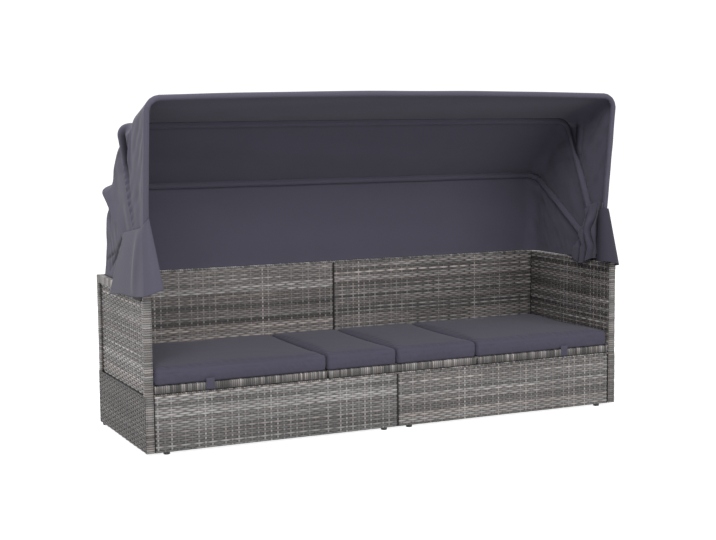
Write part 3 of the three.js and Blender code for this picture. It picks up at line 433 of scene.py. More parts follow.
# End panels: the arms of the bed, woven over a tube frame. Above a ledge the outside is set back between
# the posts. The posts and the top rail are wound round with strands laid side by side.
end_lower_height = 0.215
end_recess = 0.009
top_wrap = 0.007
ledge_gap = post_lap = 0.002
# Painted shade and light: the outside is much darker below the ledge, where it is also browner, and a little
# lighter above.
lower_look = {"shade": -0.52, "brown": 0.4, "contrast": 0.6}
upper_look = {"shade": 0.06, "contrast": 0.8}
# The inside field is a little darker as painted shade, and browner.
inside_look = {"shade": -0.06, "brown": 0.2}
for label, side in (("left", -1), ("right", 1)):
    (x0, y0, z0), (x1, y1, z1) = (np.array(corner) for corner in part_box(label + "_end_weave"))
    inner, outer = (x1, x0) if side < 0 else (x0, x1)
    post, depth = x1 - x0, y1 - y0
    set_back = outer - side * end_recess
    rail_bottom = z1 - post
    seed = 10 if side < 0 else 40
    outside, inside = (side, 0, 0), (-side, 0, 0)
    lower = woven_face((outer, y0, z0), (0, 1, 0), outside, depth, end_lower_height - z0, seed, **lower_look)
    upper = woven_face((set_back, y0 + post, end_lower_height), (0, 1, 0), outside, depth - 2 * post,
                       rail_bottom - end_lower_height, seed + 1, **upper_look)
    inner_field = woven_face((inner, y0, z0), (0, 1, 0), inside, depth, z1 - top_wrap - z0, seed + 2,
                             **inside_look)
    wound = []
    for end, (edge, into) in enumerate(((y0, 1), (y1, -1))):
        lap = edge + into * post_lap
        face = [(inner, lap), (inner, edge), (outer, edge), (outer, lap)]
        tall = face[:-1] + [(outer, edge + into * post), (set_back, edge + into * post)]
        for turn, floor_z, roof_z in ((face, z0, end_lower_height), (tall, end_lower_height, z1)):
            corners = [(x, y, 0) for x, y in turn]
            if (side > 0) == (end == 0):
                corners = corners[::-1]
            wound.append(wound_strands(corners, (0, 0, 1), floor_z, roof_z - floor_z, seed + 3 + end,
                                       brighter=-0.12, contrast=0.6))
    rail = [(inner, 0, z1 - top_wrap), (inner, 0, z1), (outer, 0, z1), (outer, 0, rail_bottom),
            (set_back, 0, rail_bottom)]
    wound.append(wound_strands(rail if side < 0 else rail[::-1], (0, 1, 0), y0, depth, seed + 5))
    inwards = side * backing_depth
    x_inner, x_outer, x_back = inner + inwards, outer - inwards, set_back - inwards
    front, back, top = y0 + backing_depth, y1 - backing_depth, z1 - backing_depth
    backing = [slab((min(x_inner, x), ya, za), (max(x_inner, x), yb, zb)) for x, ya, yb, za, zb in (
        (x_outer, front, back, z0, end_lower_height - ledge_gap), (x_back, front, back, z0, top),
        (x_outer, front, y0 + post - backing_depth, z0, top),
        (x_outer, y1 - post + backing_depth, back, z0, top),
        (x_outer, front, back, rail_bottom + backing_depth, top))]
    node = label + "_end_weave"
    woven_piece(node + "_outside", [*lower, *upper, *wound, *backing], "base", node)
    woven_piece(node + "_inside", inner_field, "base")

# Front and back panels: two of each, meeting at the middle of the bed, woven on both faces in rows that run
# the whole length. Their top rails are wound across.
rail_wrap = 0.004
panel_end = 0.0006
# Seed, then shade, brown and contrast of each panel's front face: the back panels' inner faces are darker,
# partly as painted shade, and browner.
for label, seed, *look in (("left_front", 70, -0.03, -0.3, 0.75), ("left_back", 90, -0.13, 0.25, 1.05),
                           ("right_front", 80, 0.0, 0.05, 0.75), ("right_back", 100, -0.13, 0.25, 1.05)):
    node = label + "_weave"
    low, high = (np.array(corner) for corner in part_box(node))
    (x0, y0, z0), (x1, y1, z1) = low, high
    wrap_z = z1 - rail_wrap
    length, field = x1 - x0, wrap_z - z0
    front_face = woven_face(low, (1, 0, 0), (0, -1, 0), length, field, seed, *look)
    back_face = woven_face((x0, y1, z0), (1, 0, 0), (0, 1, 0), length, field, seed + 1)
    rail = [(0, y1, wrap_z), (0, y1, z1), (0, y0, z1), (0, y0, wrap_z)]
    over = wound_strands(rail, (1, 0, 0), x0, length, seed + 2)
    backing = slab(low + (panel_end, backing_depth, 0), high - (panel_end, backing_depth, backing_depth))
    woven_piece(node + "_front", [*front_face, over, backing], "base", node)
    woven_piece(node + "_rear", back_face, "base")

# Seat decks: each seat section is a tube frame under a woven top, with its rim wound upright in lighter
# strands. Only the rim shows past the cushions.
lap = 0.02
shell = 0.0008
under_rim = 0.0018
for label, seed in (("left_middle", 138), ("right_middle", 132), ("left_head", 136), ("right_head", 130)):
    node = label + "_deck"
    low, high = (np.array(corner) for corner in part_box(node))
    body = label + "_section" if "head" in label else "base"
    (x0, y0, z0), (x1, y1, z1) = low, high
    front_turn = [(0, y0 + lap, z1), (0, y0, z1), (0, y0, z0)]
    back_turn = [(0, y1, z0), (0, y1, z1), (0, y1 - lap, z1)]
    left_turn = [(x0, 0, z0), (x0, 0, z1), (x0 + lap, 0, z1)]
    right_turn = [(x1 - lap, 0, z1), (x1, 0, z1), (x1, 0, z0)]
    wound = [wound_strands(front_turn, (1, 0, 0), x0, x1 - x0, seed, brighter=-0.16),
             wound_strands(back_turn, (1, 0, 0), x0, x1 - x0, seed + 1),
             wound_strands(left_turn, (0, 1, 0), y0, y1 - y0, seed + 2),
             wound_strands(right_turn, (0, 1, 0), y0, y1 - y0, seed + 3)]
    inset = np.array([backing_depth - shell, backing_depth - shell, 0])
    a, b = low + inset, high - inset - (0, 0, under_rim)
    backing = [slab((a[0], a[1], b[2] - shell), b),
               slab(a, (b[0], a[1] + shell, b[2])), slab((a[0], b[1] - shell, a[2]), b),
               slab(a, (a[0] + shell, b[1], b[2])), slab((b[0] - shell, a[1], a[2]), b)]
    woven_piece(node + "_weave", [*wound, *backing], body, node)


# Steel, zinc and plastic parts keep their CAD shapes: powder-coated tube frames, racks and bows, zinc-plated
# pins, props and bolts, and moulded feet and nuts.
def metal_finish(name, colour, metallic, roughness, grain, gloss=0.5):
    """Satin metal or paint with fine grain and faint cloudy wear in its gloss."""
    metal = Finish(name)
    where = metal.place()
    cloud = metal.noise(where, 18, 3)
    fine = metal.noise(where, 900, 1)
    shade = metal.mix(cloud * 0.25, colour, tuple(min(1, c * 1.5 + 0.01) for c in colour))
    return metal.surface(Base_Color=shade, Metallic=metallic, Roughness=roughness + (cloud - 0.5) * 0.2,
                         Specular_IOR_Level=gloss, Normal=metal.bump(fine, grain, 0.5))


looks = {"coated_steel": ((0.016, 0.015, 0.015), 0.0, 0.6, 0.0001, 0.15),
         "zinc_plated_steel": ((0.46, 0.47, 0.48), 1.0, 0.36, 0.00005),
         "black_plastic": ((0.016, 0.016, 0.016), 0.0, 0.55, 0.00012)}
hardware = {name: metal_finish(name, *look) for name, look in looks.items()}
for entry in frame["record"]["subparts"]:
    if entry["material_slot"] in hardware:
        frame["nodes"][entry["node"]].material_slots[0].material = hardware[entry["material_slot"]]


# Cushions: foam slabs in slate grey covers, one on each seat section, crowned above and pulled in a little
# between the corners, with a boxed border sewn to the top and bottom.
def cover_finish(name, colour, thread, wave, with_crease_shade=False):
    """Plain woven polyester: a fine grid of threads, faint slubs and cloudy fading. For the canopy, painted
    shade from a per-point attribute darkens its folds, creases, hem and shaded parts."""
    cover = Finish(name)
    where = cover.place()
    cloud = cover.noise(where, 6, 3)
    slub = cover.noise(cover.place((60, 900, 900)), 1, 2)
    slub_up = cover.noise(cover.place((900, 60, 900)), 1, 2)
    shade = cover.mix(cloud, tuple(c * 0.9 for c in colour), tuple(c * 1.1 for c in colour))
    flecked = cover.mix((slub + slub_up - 1) * 0.5 + 0.35, shade, tuple(c * 1.25 for c in colour))
    if with_crease_shade:
        # Painted shade: darkens the cloth in folds and creases, at the rear hem and on the right flap's
        # return.
        flecked = cover.mix(cover.attribute("crease_shade"), flecked, (0.16, 0.15, 0.16), "MULTIPLY")
    soft = cover.bump(cover.noise(where, wave, 3, 0.55), 0.004, 0.35)
    return cover.surface(Base_Color=flecked, Roughness=0.95, Specular_IOR_Level=0.15, Sheen_Weight=0.12,
                         Sheen_Roughness=0.5, Normal=cover.bump(slub + slub_up, thread, 0.5, soft))


cushion_cover = cover_finish("cushion_cover", (0.069, 0.064, 0.092), 0.0003, 9)


def closed_rings(name, rings, finish):
    """A closed form from rings of as many points each. Its first and last ring each lie on one point."""
    levels, around, _ = rings.shape
    index = np.arange(levels * around).reshape(levels, around)
    after = np.roll(index, -1, axis=1)
    quads = np.stack([index[:-1], after[:-1], after[1:], index[1:]], -1).reshape(-1, 4)
    mesh = bpy.data.meshes.new(name)
    mesh.from_pydata(rings.reshape(-1, 3).tolist(), [], quads.tolist())
    made = add_object(name, mesh)
    bpy.context.view_layer.objects.active = made
    made.select_set(True)
    bpy.ops.object.mode_set(mode="EDIT")
    bpy.ops.mesh.select_all(action="SELECT")
    bpy.ops.mesh.remove_doubles(threshold=0.00005)
    bpy.ops.mesh.normals_make_consistent(inside=False)
    bpy.ops.object.mode_set(mode="OBJECT")
    made.select_set(False)
    mesh.shade_smooth()
    mesh.materials.append(finish)
    return made


def cushion_form(low, high):
    """Rings round a foam slab. Seen from above each is a rectangle with small round corners whose sides pull
    in a little between them. The rings climb the border between two seams that stand out as a low welt, turn
    in over the top and rise to the crown."""
    half = (high[:2] - low[:2]) / 2
    middle = (high[:2] + low[:2]) / 2
    radius, pull_in, crown, per_corner, per_side = 0.014, 0.0028, 0.007, 8, 40
    turn = np.linspace(0, np.pi / 2, per_corner)
    rim = []
    for quarter in range(4):
        span = half if quarter % 2 == 0 else half[::-1]
        centre = span - radius
        arc = centre + radius * np.stack([np.cos(turn), np.sin(turn)], 1)
        straight = np.linspace(0, 1, per_side + 1)[1:-1, None]
        side = arc[-1] + (np.array([-centre[0], span[1]]) - arc[-1]) * straight
        side[:, 1] -= pull_in * np.sin(np.pi * straight[:, 0]) ** 0.7
        part = np.concatenate([arc, side])
        for _ in range(quarter):
            part = np.stack([-part[:, 1], part[:, 0]], 1)
        rim.append(part)
    rim = np.concatenate(rim)
    top = high[2] - crown
    below = [(1, 0), (0.5, 0), (0.12, 0), (0.02, 0.0005), (0.008, 0.003), (0.003, 0.0052), (0.0, 0.0065),
             (0.003, 0.009)]
    above = [(0.003, -0.0125), (0.0, -0.010), (0.003, -0.0072), (0.0075, -0.0042), (0.016, -0.001),
             (0.03, 0.0012), (0.06, 0.0022), (0.15, 0.0038), (0.35, 0.0055), (0.65, 0.0066)]
    profile = [*((inset, low[2] + z) for inset, z in below), (-0.003, (low[2] + top) / 2),
               *((inset, top + z) for inset, z in above), (1, high[2])]
    return np.stack([np.concatenate([middle + rim * (1 - inset), np.full((len(rim), 1), z)], 1)
                     for inset, z in profile])


def points_of(mesh):
    """A mesh's points as an array."""
    flat = np.empty(len(mesh.vertices) * 3)
    mesh.vertices.foreach_get("co", flat)
    return flat.reshape(-1, 3)


def fill_out(piece, low, high, most=0.0035):
    """The foam fills the cover: the form is remeshed into even cells and swollen by air pressure, as cloth a
    little too large for it, while its top and bottom edges are held as seams. No point moves farther than
    most."""
    voxel, bottom_seam, top_seam, seam_reach, border = 0.0065, 0.006, 0.016, 0.005, 0.012
    remesh = piece.modifiers.new("even", "REMESH")
    remesh.mode = "VOXEL"
    remesh.voxel_size = voxel
    remesh.use_smooth_shade = True
    bpy.context.view_layer.objects.active = piece
    bpy.ops.object.modifier_apply(modifier=remesh.name)
    start = points_of(piece.data)
    rim = np.minimum(np.abs(start[:, 2] - (low[2] + bottom_seam)), np.abs(start[:, 2] - (high[2] - top_seam)))
    side = np.minimum(start[:, :2] - low[:2], high[:2] - start[:, :2]).min(1)
    held = piece.vertex_groups.new(name="seams")
    for index in np.flatnonzero((rim < seam_reach) & (side < border)).tolist():
        held.add([index], 1.0, "REPLACE")
    cloth = piece.modifiers.new("cover", "CLOTH")
    for key, value in {"quality": 4, "mass": 0.2, "tension_stiffness": 25, "compression_stiffness": 25,
                       "bending_stiffness": 0.4, "vertex_group_mass": held.name, "use_pressure": True,
                       "uniform_pressure_force": 4, "shrink_min": -0.012}.items():
        setattr(cloth.settings, key, value)
    cloth.settings.effector_weights.gravity = 0
    first, last = 1, 20
    cloth.point_cache.frame_start, cloth.point_cache.frame_end = first, last
    for moment in range(first, last + 1):
        bpy.context.scene.frame_set(moment)
    swollen = piece.evaluated_get(bpy.context.evaluated_depsgraph_get())
    moved = points_of(swollen.data) - start
    distance = np.linalg.norm(moved, axis=1)[:, None]
    capped = start + moved * np.tanh(distance / most) * most / np.maximum(distance, 1e-9)
    capped[:, 2] = np.maximum(capped[:, 2], low[2])
    piece.modifiers.remove(cloth)
    bpy.context.scene.frame_set(first)
    piece.data.vertices.foreach_set("co", capped.astype(np.float32).ravel())
    piece.data.update()


for label in ("left_head", "left_middle", "right_middle", "right_head"):
    node = label + "_cushion"
    low, high = (np.array(corner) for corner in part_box(node))
    piece = closed_rings(node + "_cover", cushion_form(low, high), cushion_cover)
    fill_out(piece, low, high)
    smooth = piece.modifiers.new("smooth", "SUBSURF")
    smooth.levels = smooth.render_levels = 1
    if "head" in label:
        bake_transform(piece)
    else:
        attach(piece, "base")
    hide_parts(node)

# Straps: a band of the cover's cloth that ties each head cushion to its deck. It runs up the front of the
# rim, over its edge and in under the cushion.
def thin_sheet(name, points, finish, thickness):
    """A sheet from a grid of points of shape (rows, columns, 3), given its thickness by Solidify."""
    mesh = bpy.data.meshes.new(name)
    mesh.from_pydata(points.reshape(-1, 3).tolist(), [], grid_faces(1, *points.shape[:2], True).tolist())
    mesh.shade_smooth()
    mesh.materials.append(finish)
    made = add_object(name, mesh)
    wall = made.modifiers.new("cloth", "SOLIDIFY")
    wall.thickness = thickness
    wall.offset = 0
    return made


strap_thickness, strap_inset = 0.0015, 0.0009
for label in ("left", "right"):
    node = label + "_strap"
    low, high = (np.array(corner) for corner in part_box(node))
    face, tuck, bottom, top = low[1] + strap_inset, high[1] - strap_inset, low[2], high[2]
    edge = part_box(label + "_head_deck")[1][2]
    line = np.array([(face, bottom), (face - 0.0004, bottom + 0.006), (face, edge - 0.006),
                     (face + 0.0002, edge + 0.0004), ((face + tuck) / 2, edge + 0.0032),
                     (tuck, edge + 0.0062), (tuck, top)])
    x = (low[0] + high[0]) / 2 + (high[0] - low[0]) / 2 * np.array([-1, -0.5, 0, 0.5, 1])
    points = np.stack([np.concatenate([np.full((len(line), 1), place), line], 1) for place in x], 1)
    band = thin_sheet(node + "_band", points, cushion_cover, strap_thickness)
    length = float(np.linalg.norm(np.diff(line, axis=0), axis=1).sum())
    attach(band, label + "_head_section")
    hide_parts(node)

# Canopy cloth: one awning cloth stretched over three bows and down to the top of the back, cut in three
# panels that are sewn at the bows, each of which lies in a sleeve. It hangs a little slack at the sides,
# gathered along the legs of the middle bow, and its lower edge rests on the arms and the back.
canopy_cloth = cover_finish("canopy_cloth", (0.085, 0.080, 0.109), 0.0002, 7, True)
pivot_x, pivot_y, pivot_z = 0.971, -0.203, 0.606
bow_spread, bow_corner, sleeve_radius = 0.002, 0.050, 0.0094
cloth_start, cloth_offset, cloth_ease, cloth_thickness = 0.026, 0.0091, 0.0006, 0.0014
hem_reach, hem_drop = 0.531, -0.006
arm_top, skirt_gap, flap_anchor = 0.592, 0.0022, 0.56
roof_sag, sleeve_seam, seam_inset = 0.007, 0.014, 0.0013
# Each bow's reach from the pivot, its angle there in degrees and the rise of its arch, then the cloth's hem.
ribs = [(0.666, 96.7, 0.012), (0.618, 65.2, 0.003), (0.601, 32.5, 0.0),
        (math.hypot(hem_reach, hem_drop), math.degrees(math.atan2(hem_drop, hem_reach)), 0.0)]


def rib_line(rib, run):
    """A bow's line in its own plane by its run from 0 to 5: up one leg, round the corner, along the top and
    down again. Gives x, the distance r from the pivot, the turn from sideways to level, and the side."""
    reach, _, arch = rib
    side = np.where(run < 2.5, -1.0, 1.0)
    along = np.where(run < 2.5, run, 5 - run)
    leg_top, top_x = reach - bow_corner, pivot_x + bow_spread
    leg_r = cloth_start + (leg_top - cloth_start) * np.clip(along, 0, 1)
    leg_x = pivot_x + (top_x - pivot_x) * leg_r / leg_top
    turn = np.clip(along - 1, 0, 1) * np.pi / 2
    bend_x = top_x - bow_corner + bow_corner * np.cos(turn)
    flat_x = (top_x - bow_corner) * (1 - np.clip(along - 2, 0, 1) / 0.5)
    x = np.where(along <= 1, leg_x, np.where(along <= 2, bend_x, flat_x))
    r = np.where(along <= 1, leg_r, leg_top + bow_corner * np.sin(turn))
    r = r + np.where(along > 2, arch * (1 - (flat_x / (top_x - bow_corner)) ** 2), 0)
    return side * x, r, turn, side


def on_side(r, angle):
    """The y and z of a place at a distance and an angle in radians from the pivot."""
    return pivot_y + r * np.cos(angle), pivot_z + r * np.sin(angle)


rib_tops = [np.array(on_side(reach, math.radians(angle))) for reach, angle, _ in ribs]
chords = [(b - a) / np.linalg.norm(b - a) for a, b in zip(rib_tops, rib_tops[1:])]


def stand_off(index):
    """How far the cloth stands off the top of a bow, so that it clears the tube on both sides."""
    before, after = chords[max(index - 1, 0)], chords[min(index, 2)]
    outwards = [np.array([-chord[1], chord[0]]) for chord in (before, after)]
    mitre = (outwards[0] + outwards[1]) / np.linalg.norm(outwards[0] + outwards[1])
    return mitre * (cloth_offset + cloth_ease) / mitre.dot(outwards[1])


def soft_waves(random, first, second, across, along, count=7):
    """Irregular soft folds between -1 and 1: a sum of sine waves of random length and slant."""
    total = 0
    for _ in range(count):
        turns, slant, phase = random.uniform(*across), random.uniform(-along, along), random.uniform(0, 6.28)
        total = total + np.sin(2 * np.pi * (turns * first + slant * second) + phase)
    return total / count ** 0.5 / 1.4


def near(value, place, width):
    """1 at a place and fading to 0 within a width on either side."""
    return np.exp(-((value - place) / width) ** 2)


def cloth_on_rib(index, run):
    """Points of the cloth on a bow, outside its tube on the legs and above it along the top."""
    x, r, turn, side = rib_line(ribs[index], run)
    y, z = on_side(r, math.radians(ribs[index][1]))
    off = stand_off(index)
    level = np.sin(turn)
    return np.stack([x + side * np.cos(turn) * cloth_offset, y + level * off[0], z + level * off[1]], -1)


def panel_points(index, runs, shares):
    """The cloth between one bow and the next: straight from bow to bow, then moved outwards by its slack.
    Gives the points and the painted shade of each, from 0 to 1, deepest in creases and folds.
    The sides sag inwards between the bows in a few broad folds and many small crumples. Cloth is pulled in
    beside the corners of the middle and rear bows, which stand out in it as round ears. In front of the
    middle bow's corner two creases run together down its leg, and along that leg the seam is gathered in
    short puckers. Low on the left of the rear panel a long and a short fold hang down to the arm. The roof
    sags a little, least over the back."""
    random = np.random.default_rng(200 + index)
    first, last = cloth_on_rib(index, runs), cloth_on_rib(index + 1, runs)
    _, r, turn, side = rib_line(ribs[index], runs)
    share = shares[:, None]
    points = first[None] + (last - first)[None] * share[..., None]
    width = r * math.radians(ribs[index][1] - ribs[index + 1][1])
    from_first, from_last = share * width, (1 - share) * width
    slack = np.sin(np.pi * share)
    level = np.sin(turn)
    high = rise(r - 0.10, 0.40) ** 1.3
    side_sag, broad_height, crumple_height, pucker_height, ripple_height = (
        (0.006, 0.014, 0.010)[index], 0.003, 0.0013, 0.0065, 0.0020)
    folds = soft_waves(random, share + 0.6 * side, r, (0.7, 1.9), 1.5, 5)
    sag = side_sag * slack ** 0.8 * high
    wave = broad_height * slack ** 0.6 * np.clip(r / 0.35, 0.25, 1) * folds
    clear = rise(np.minimum(from_first, from_last) - 0.008, 0.010)
    small = soft_waves(random, share * width / 0.13, r / 0.08, (0.7, 1.7), 1.4, 7) * rise(r - 0.12, 0.2)
    wave = wave + crumple_height * clear * small
    # Painted shade in the hollows of the small crumples; below, in the creases, puckers and hanging folds.
    creases, shade, tucks = 0, 0.16 * (1 - level) * clear * np.clip(-small, 0, 1), 0
    if index == 0:
        main_fold = near(from_last, 0.021, 0.012) * near(r, 0.57, 0.12)
        side_fold = near(from_last, 0.026 + 0.6 * (r - 0.52), 0.011) * near(r, 0.58, 0.055)
        creases = clear * (0.016 * main_fold + 0.011 * side_fold
                           - 0.008 * near(from_last, 0.052 + 0.6 * (r - 0.52), 0.013) * near(r, 0.56, 0.08))
        shade = shade + (1 - level) ** 0.5 * (1.3 * main_fold + 1.3 * side_fold)
    if index < 2:
        from_middle = from_first if index else -from_last
        up = rib_line(ribs[1], runs)[1]
        pucker_pitch = 0.026
        uneven = 0.8 * np.sin(31 * up) + 0.5 * np.sin(77 * up + 1)
        pleats = 0.5 + 0.5 * np.sin(2 * np.pi * (up + 0.25 * from_middle) / pucker_pitch + uneven)
        tucks = near(from_middle, 0.004, 0.021) * near(up, 0.33, 0.11)
        # Painted shade in the puckers' valleys.
        shade = shade + 0.45 * tucks * (1 - pleats) ** 2
        tucks = pucker_height * pleats * tucks
    if index == 2:
        from_y, from_z = points[..., 1] - 0.03, points[..., 2] - 0.772
        along, off = from_y * 0.795 - from_z * 0.606, from_y * 0.606 + from_z * 0.795
        long_fold = near(off, 0, 0.011) * rise(along, 0.04) * rise(0.25 - along, 0.07)
        short_fold = (near(off, 0.35 * along - 0.034, 0.008) * rise(along - 0.12, 0.05)
                      * rise(0.29 - along, 0.04))
        hang_folds = (side < 0) * (long_fold + 0.7 * short_fold)
        creases = 0.004 * hang_folds
        # Painted shade in the hanging folds.
        shade = shade + 1.1 * hang_folds * (1 - level)
    outward = (1 - level) * (tucks + (wave - sag - creases) * np.clip(slack * 9, 0, 1))
    corner = near(np.minimum(runs, 5 - runs), 1.4, 0.5)
    pulled = ((0, 0.010, 0.018)[index] * near(share, 0.14, 0.12)
              + (0.026, 0.018, 0)[index] * near(share, (0.78, 0.83, 0)[index], 0.17))
    pulled = pulled * np.clip(slack * 3, 0, 1)
    ear_height, ear_width = 0.009, 0.016
    puff = ear_height * ((index > 0) * near(from_first, 0, ear_width)
                         + (index < 2) * near(from_last, 0, ear_width))
    outward = outward + corner * np.cos(turn) * (puff - pulled)
    points[..., 0] += side * outward
    ripple = soft_waves(random, share + 0 * runs, runs + 0 * share, (0.8, 2.5), 2.0)
    sag = roof_sag * (1, 1, 0.4)[index]
    lift = level * slack * (ripple_height * ripple - sag) + corner * level * (puff - pulled)
    points[..., 1] -= lift * chords[index][1]
    points[..., 2] += lift * chords[index][0]
    return points, np.clip(shade, 0, 1)


def cloth_piece(name, points, body=None, shade=0.0):
    """Canopy cloth with painted shade per point. Gives the piece, its flat length and width, and its area."""
    made = thin_sheet(name, points, canopy_cloth, cloth_thickness)
    creases = np.broadcast_to(shade, points.shape[:2]).astype(np.float32).ravel()
    made.data.attributes.new("crease_shade", "FLOAT", "POINT").data.foreach_set("value", creases)
    if body:
        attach(made, body)
    across, along = (float(np.linalg.norm(np.diff(points, axis=axis), axis=-1).sum(axis).max())
                     for axis in (0, 1))
    corners = points[:-1, :-1], points[1:, :-1], points[1:, 1:], points[:-1, 1:]
    area = sum(np.linalg.norm(np.cross(b - a, c - a), axis=-1).sum() / 2
               for a, b, c in (corners[:3], (corners[0], *corners[2:])))
    return made, (along, across), min(float(area), along * across)


def along_cloth(points, distance):
    """The point of each column of a cloth at a distance along it from its first row."""
    steps = np.linalg.norm(np.diff(points, axis=0), axis=-1)
    gone = np.concatenate([np.zeros((1, steps.shape[1])), np.cumsum(steps, 0)])
    after = np.clip((gone < distance).sum(0), 1, len(points) - 1)[None]
    from_gone, to_gone = (np.take_along_axis(gone, row, 0)[0] for row in (after - 1, after))
    before_point, after_point = (np.take_along_axis(points, row[..., None], 0)[0]
                                 for row in (after - 1, after))
    share = rise(distance - from_gone, to_gone - from_gone)[:, None]
    return before_point + (after_point - before_point) * share


def sleeve_points(index, runs, panels_made, seed):
    """The inner half of a bow's sleeve: a strip of cloth sewn to the canopy before and behind the bow. It
    runs straight from each seam to where it touches the bow's tube and round under it. The front bow's
    sleeve starts over the tube instead and closes the canopy's front edge."""
    random = np.random.default_rng(seed)
    x, r, turn, side = rib_line(ribs[index], runs)
    angle = math.radians(ribs[index][1])
    lean, level = np.cos(turn), np.sin(turn)
    centre = np.stack([x, *on_side(r, angle)], -1)
    outward = stand_off(index) / np.linalg.norm(stand_off(index))
    up = np.stack([side * lean, level * outward[0], level * outward[1]], -1)
    ahead = np.stack([0 * x, -math.sin(angle) * lean - outward[1] * level,
                      math.cos(angle) * lean + outward[0] * level], -1)
    up /= np.linalg.norm(up, axis=-1)[:, None]
    ahead /= np.linalg.norm(ahead, axis=-1)[:, None]

    def seam(cloth):
        """A seam's place beside the bow, its bearing, and the turn from there to where the sleeve touches."""
        off = along_cloth(cloth, sleeve_seam) - centre
        flat = np.stack([(off * up).sum(-1) - seam_inset, (off * ahead).sum(-1)])
        touch = np.arccos(np.clip(sleeve_radius / np.linalg.norm(flat, axis=0), -1, 1))
        return flat, np.arctan2(flat[1], flat[0]), touch

    behind, bearing, touch = seam(panels_made[index])
    leave = 2 * np.pi + bearing - touch
    if index == 0:
        meet = np.zeros(len(runs))
        front = np.stack([meet + sleeve_radius, meet])
    else:
        front, bearing, touch = seam(panels_made[index - 1][::-1])
        meet = bearing + touch
    turns = meet + (leave - meet) * np.linspace(0, 1, 13)[:, None]
    loose = sleeve_radius + 0.0006 * (1 + soft_waves(random, runs[None] + 0 * turns, turns, (1.5, 6), 0.3))
    arc = np.stack([loose * np.cos(turns), loose * np.sin(turns)], -1)
    steps = np.linspace(0, 1, 5)[:-1, None, None]
    to_arc = front.T + (arc[0] - front.T) * steps
    from_arc = behind.T + (arc[-1] - behind.T) * steps
    profile = np.concatenate([to_arc, arc, from_arc[::-1]])
    return centre + up * profile[..., :1] + ahead * profile[..., 1:]


half_runs = np.concatenate([np.linspace(0, 1, 131)[:-1], np.linspace(1, 2, 15)[:-1], np.linspace(2, 2.5, 41)])
runs = np.concatenate([half_runs, 5 - half_runs[-2::-1]])
panels = [("front", "middle_bow", "front_bow"), ("middle", "rear_bow", "middle_bow"),
          ("rear", "base", "rear_bow")]
panels_made, shades = zip(*(panel_points(index, runs, np.linspace(0, 1, rows))
                            for index, rows in enumerate((101, 73, 57))))
for index, (label, behind, ahead_body) in enumerate(panels):
    node = f"canopy_{label}_panel"
    points, shade = panels_made[index], shades[index]
    if label == "rear":
        landing = points[-1].copy()
        landing[:, 2] = arm_top + skirt_gap
        steps = np.linspace(0, 1, 5)[1:, None, None]
        points = np.concatenate([points, points[-1] + (landing - points[-1]) * steps])
        # Painted shadow: a dark band along the hem's last rows, where it rests on the back.
        shade = np.concatenate([shade, np.repeat(shade[-1:], 2, 0), np.full_like(shade[:2], 0.6)])
    piece, flat, area = cloth_piece(node + "_cloth", points, shade=shade)
    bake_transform(piece)
    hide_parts(node)
    inner_half = sleeve_points(index, runs, panels_made, 300 + index)
    sleeve, flat, area = cloth_piece(f"{ahead_body}_sleeve", inner_half, ahead_body)


def gather_points(side):
    """The slack of the side cloth bunched round the pivot: a fan on the inner side of the bows' legs, which
    hangs in deep upright folds and spills over the inner edge of the arm. The darkest fold, at the front,
    is painted shade. Gives the points and the painted shade of each, deepest in the folds."""
    random = np.random.default_rng(500 if side < 0 else 501)
    first_angle, turned, first_r, reach, fold_pitch = 98.5, 101.5, 0.016, 0.205, 0.056
    share, far = np.linspace(0, 1, 121)[:, None], np.linspace(0, 1, 49)[None]
    angle = np.radians(first_angle - turned * share)
    r = first_r + (reach + 0.03 * np.sin(5 * share + 1) - first_r) * far
    y, z = on_side(r, angle)
    between = np.minimum.reduce([np.abs(angle - math.radians(leg)) for _, leg, _ in ribs[:3]]) * r
    open_share = rise(between, 0.030) ** 1.5 * far ** 2 * rise(np.degrees(angle) - 12, 12)
    uneven = 0.35 * soft_waves(random, z / 0.2, y / 0.2, (0.6, 1.6), 1.2, 4)
    folds = np.abs(np.sin(np.pi * (y / fold_pitch + uneven))) ** 0.8
    depth = 0.026 * near(far, 0.5, 0.42) * np.clip(1 - np.abs(share - 0.42) * 1.3, 0.15, 1)
    x = pivot_x - 0.0122 + 0.0195 * open_share - depth * folds
    droop = 0.026 * near(y, pivot_y + 0.125, 0.055) * rise(share - 0.86, 0.14)
    z = np.where(share > 0.9, z - droop, z)
    # Painted shade in the folds, near black along a fold at the front.
    shade = 1.05 * (1 - folds) ** 1.4 * near(far, 0.5, 0.42) + 1.2 * near(y, -0.207, 0.009)
    return np.stack([side * x, y + 0 * x, z + 0 * x], -1), np.clip(shade, 0, 1)


for label, side in (("left", -1), ("right", 1)):
    points, shade = gather_points(side)
    gather, flat, area = cloth_piece(f"{label}_side_gather", points, "base", shade)
    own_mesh(gather)

# Side flaps: a gusset of the same cloth sewn to each side of the canopy, which spreads over the arm and
# round its front end. It hangs in two or three broad soft folds. The lines below are its top seam and its
# bottom edge, from the front backwards, by the side they are on.
flap_tops = {-1: np.array([[0.9625, -0.2405, 0.850], [0.9700, -0.2455, 0.842], [0.9805, -0.240, 0.826],
                           [0.9845, -0.214, 0.812], [0.9848, -0.12, 0.7975], [0.9845, 0.001, 0.780]]),
             1: np.array([[0.938, -0.229, 0.806], [0.956, -0.246, 0.812], [0.9805, -0.240, 0.8115],
                          [0.9845, -0.214, 0.809], [0.9848, -0.12, 0.7965], [0.9845, 0.001, 0.780]])}
flap_bottoms = {-1: np.array([[0.949, -0.354, 0.606], [0.984, -0.3545, 0.593], [1.0065, -0.336, 0.581],
                              [1.0137, -0.298, 0.575], [1.0137, -0.0953, 0.5623], [1.0137, 0.117, 0.543]]),
                1: np.array([[0.913, -0.256, 0.600], [0.940, -0.297, 0.597], [0.980, -0.305, 0.588],
                             [1.003, -0.270, 0.578], [1.0085, -0.0953, 0.5623], [1.0085, 0.117, 0.543]])}


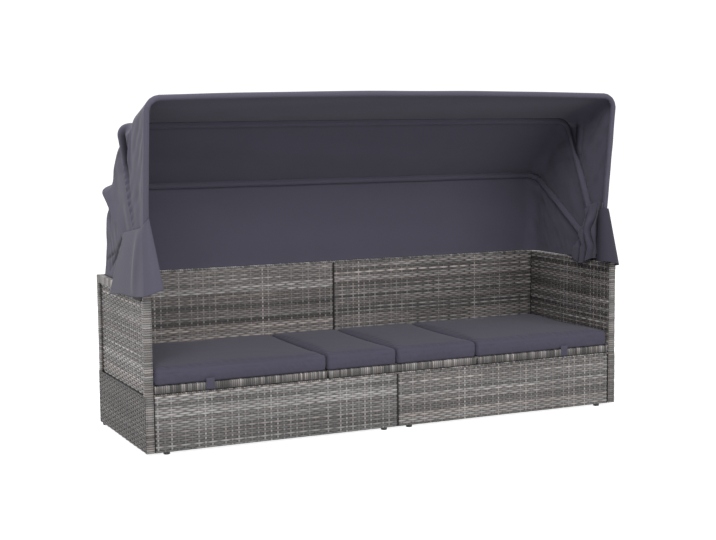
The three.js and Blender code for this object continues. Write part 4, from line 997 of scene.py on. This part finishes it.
def curve_through(places, shares):
    """A smooth curve through some places (Catmull-Rom), by shares of its length along straight lines."""
    ends = np.concatenate([[2 * places[0] - places[1]], places, [2 * places[-1] - places[-2]]])
    lengths = np.concatenate([[0], np.cumsum(np.linalg.norm(np.diff(places, axis=0), axis=1))])
    along = np.interp(shares * lengths[-1], lengths, np.arange(len(places)))
    knot = np.minimum(along.astype(int), len(places) - 2)
    t = (along - knot)[:, None]
    a, b, c, d = (ends[knot + step] for step in range(4))
    return (2 * b + (c - a) * t + (2 * a - 5 * b + 4 * c - d) * t ** 2 + (3 * b - a - 3 * c + d) * t ** 3) / 2


def flap_points(side):
    """Straight from the seam round the front bow's sleeve and along the canopy's side to the bottom edge,
    bulged outwards below the seam, with two broad folds that deepen downwards. A third fold runs down over
    the head of the pivot bolt, and the rear edge is drawn forwards in its upper half. Gives the points and
    the painted shade, faint over all the left flap and deep on the right flap's return."""
    random = np.random.default_rng(400 if side < 0 else 401)
    u, v = np.linspace(0, 1, 91), np.linspace(0, 1, 61)[:, None]
    top, bottom = curve_through(flap_tops[side], u), curve_through(flap_bottoms[side], u)
    points = top + (bottom - top) * v[..., None]
    points[..., 0] += (bottom[:, 0] - top[:, 0]) * (v ** 0.75 - v) * np.clip(3 * u, 0, 1)
    uneven = soft_waves(random, u + 0 * v, v + 0 * u, (0.8, 2.2), 0.5, 4)
    folds = 0.5 * np.sin(2 * np.pi * 1.6 * u + 1.2) + 0.5 * uneven
    swell = 0.0022 * v ** 0.8 * folds * np.clip(8 * v, 0, 1)
    bolt_fold_height, bolt_fold_width = 0.0095, 0.034
    over_bolt = np.sin(np.pi * np.clip(v, 0, 1)) ** 0.6 * bolt_fold_height
    over_bolt = over_bolt * near(points[..., 1], pivot_y, bolt_fold_width)
    points[..., 0] += swell * np.clip(4 * u, 0, 1) + over_bolt
    points[..., 1] -= swell * np.clip(1 - 4 * u, 0, 1)
    points[..., 2] += 0.0025 * v * np.sin(2 * np.pi * 1.7 * u)
    points[..., 1] -= 0.016 * near(v, 0.32, 0.2) * rise(u - 0.8, 0.2)
    points[..., 0] *= side
    # Painted shade: the left flap a little darker all over, the right flap's return dark as if in shadow.
    if side < 0:
        return points, 0.06 + 0 * u + 0 * v
    shade = 0.62 * rise(0.30 - u, 0.09) + 0.35 * near(u, 0, 0.03) + 0 * v
    return points[:, ::-1], shade[:, ::-1]


for label, side in (("left", -1), ("right", 1)):
    node = label + "_flap"
    points, shade = flap_points(side)
    flap, flat, area = cloth_piece(node + "_cloth", points, "base", shade)
    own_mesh(flap)
    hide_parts(node)
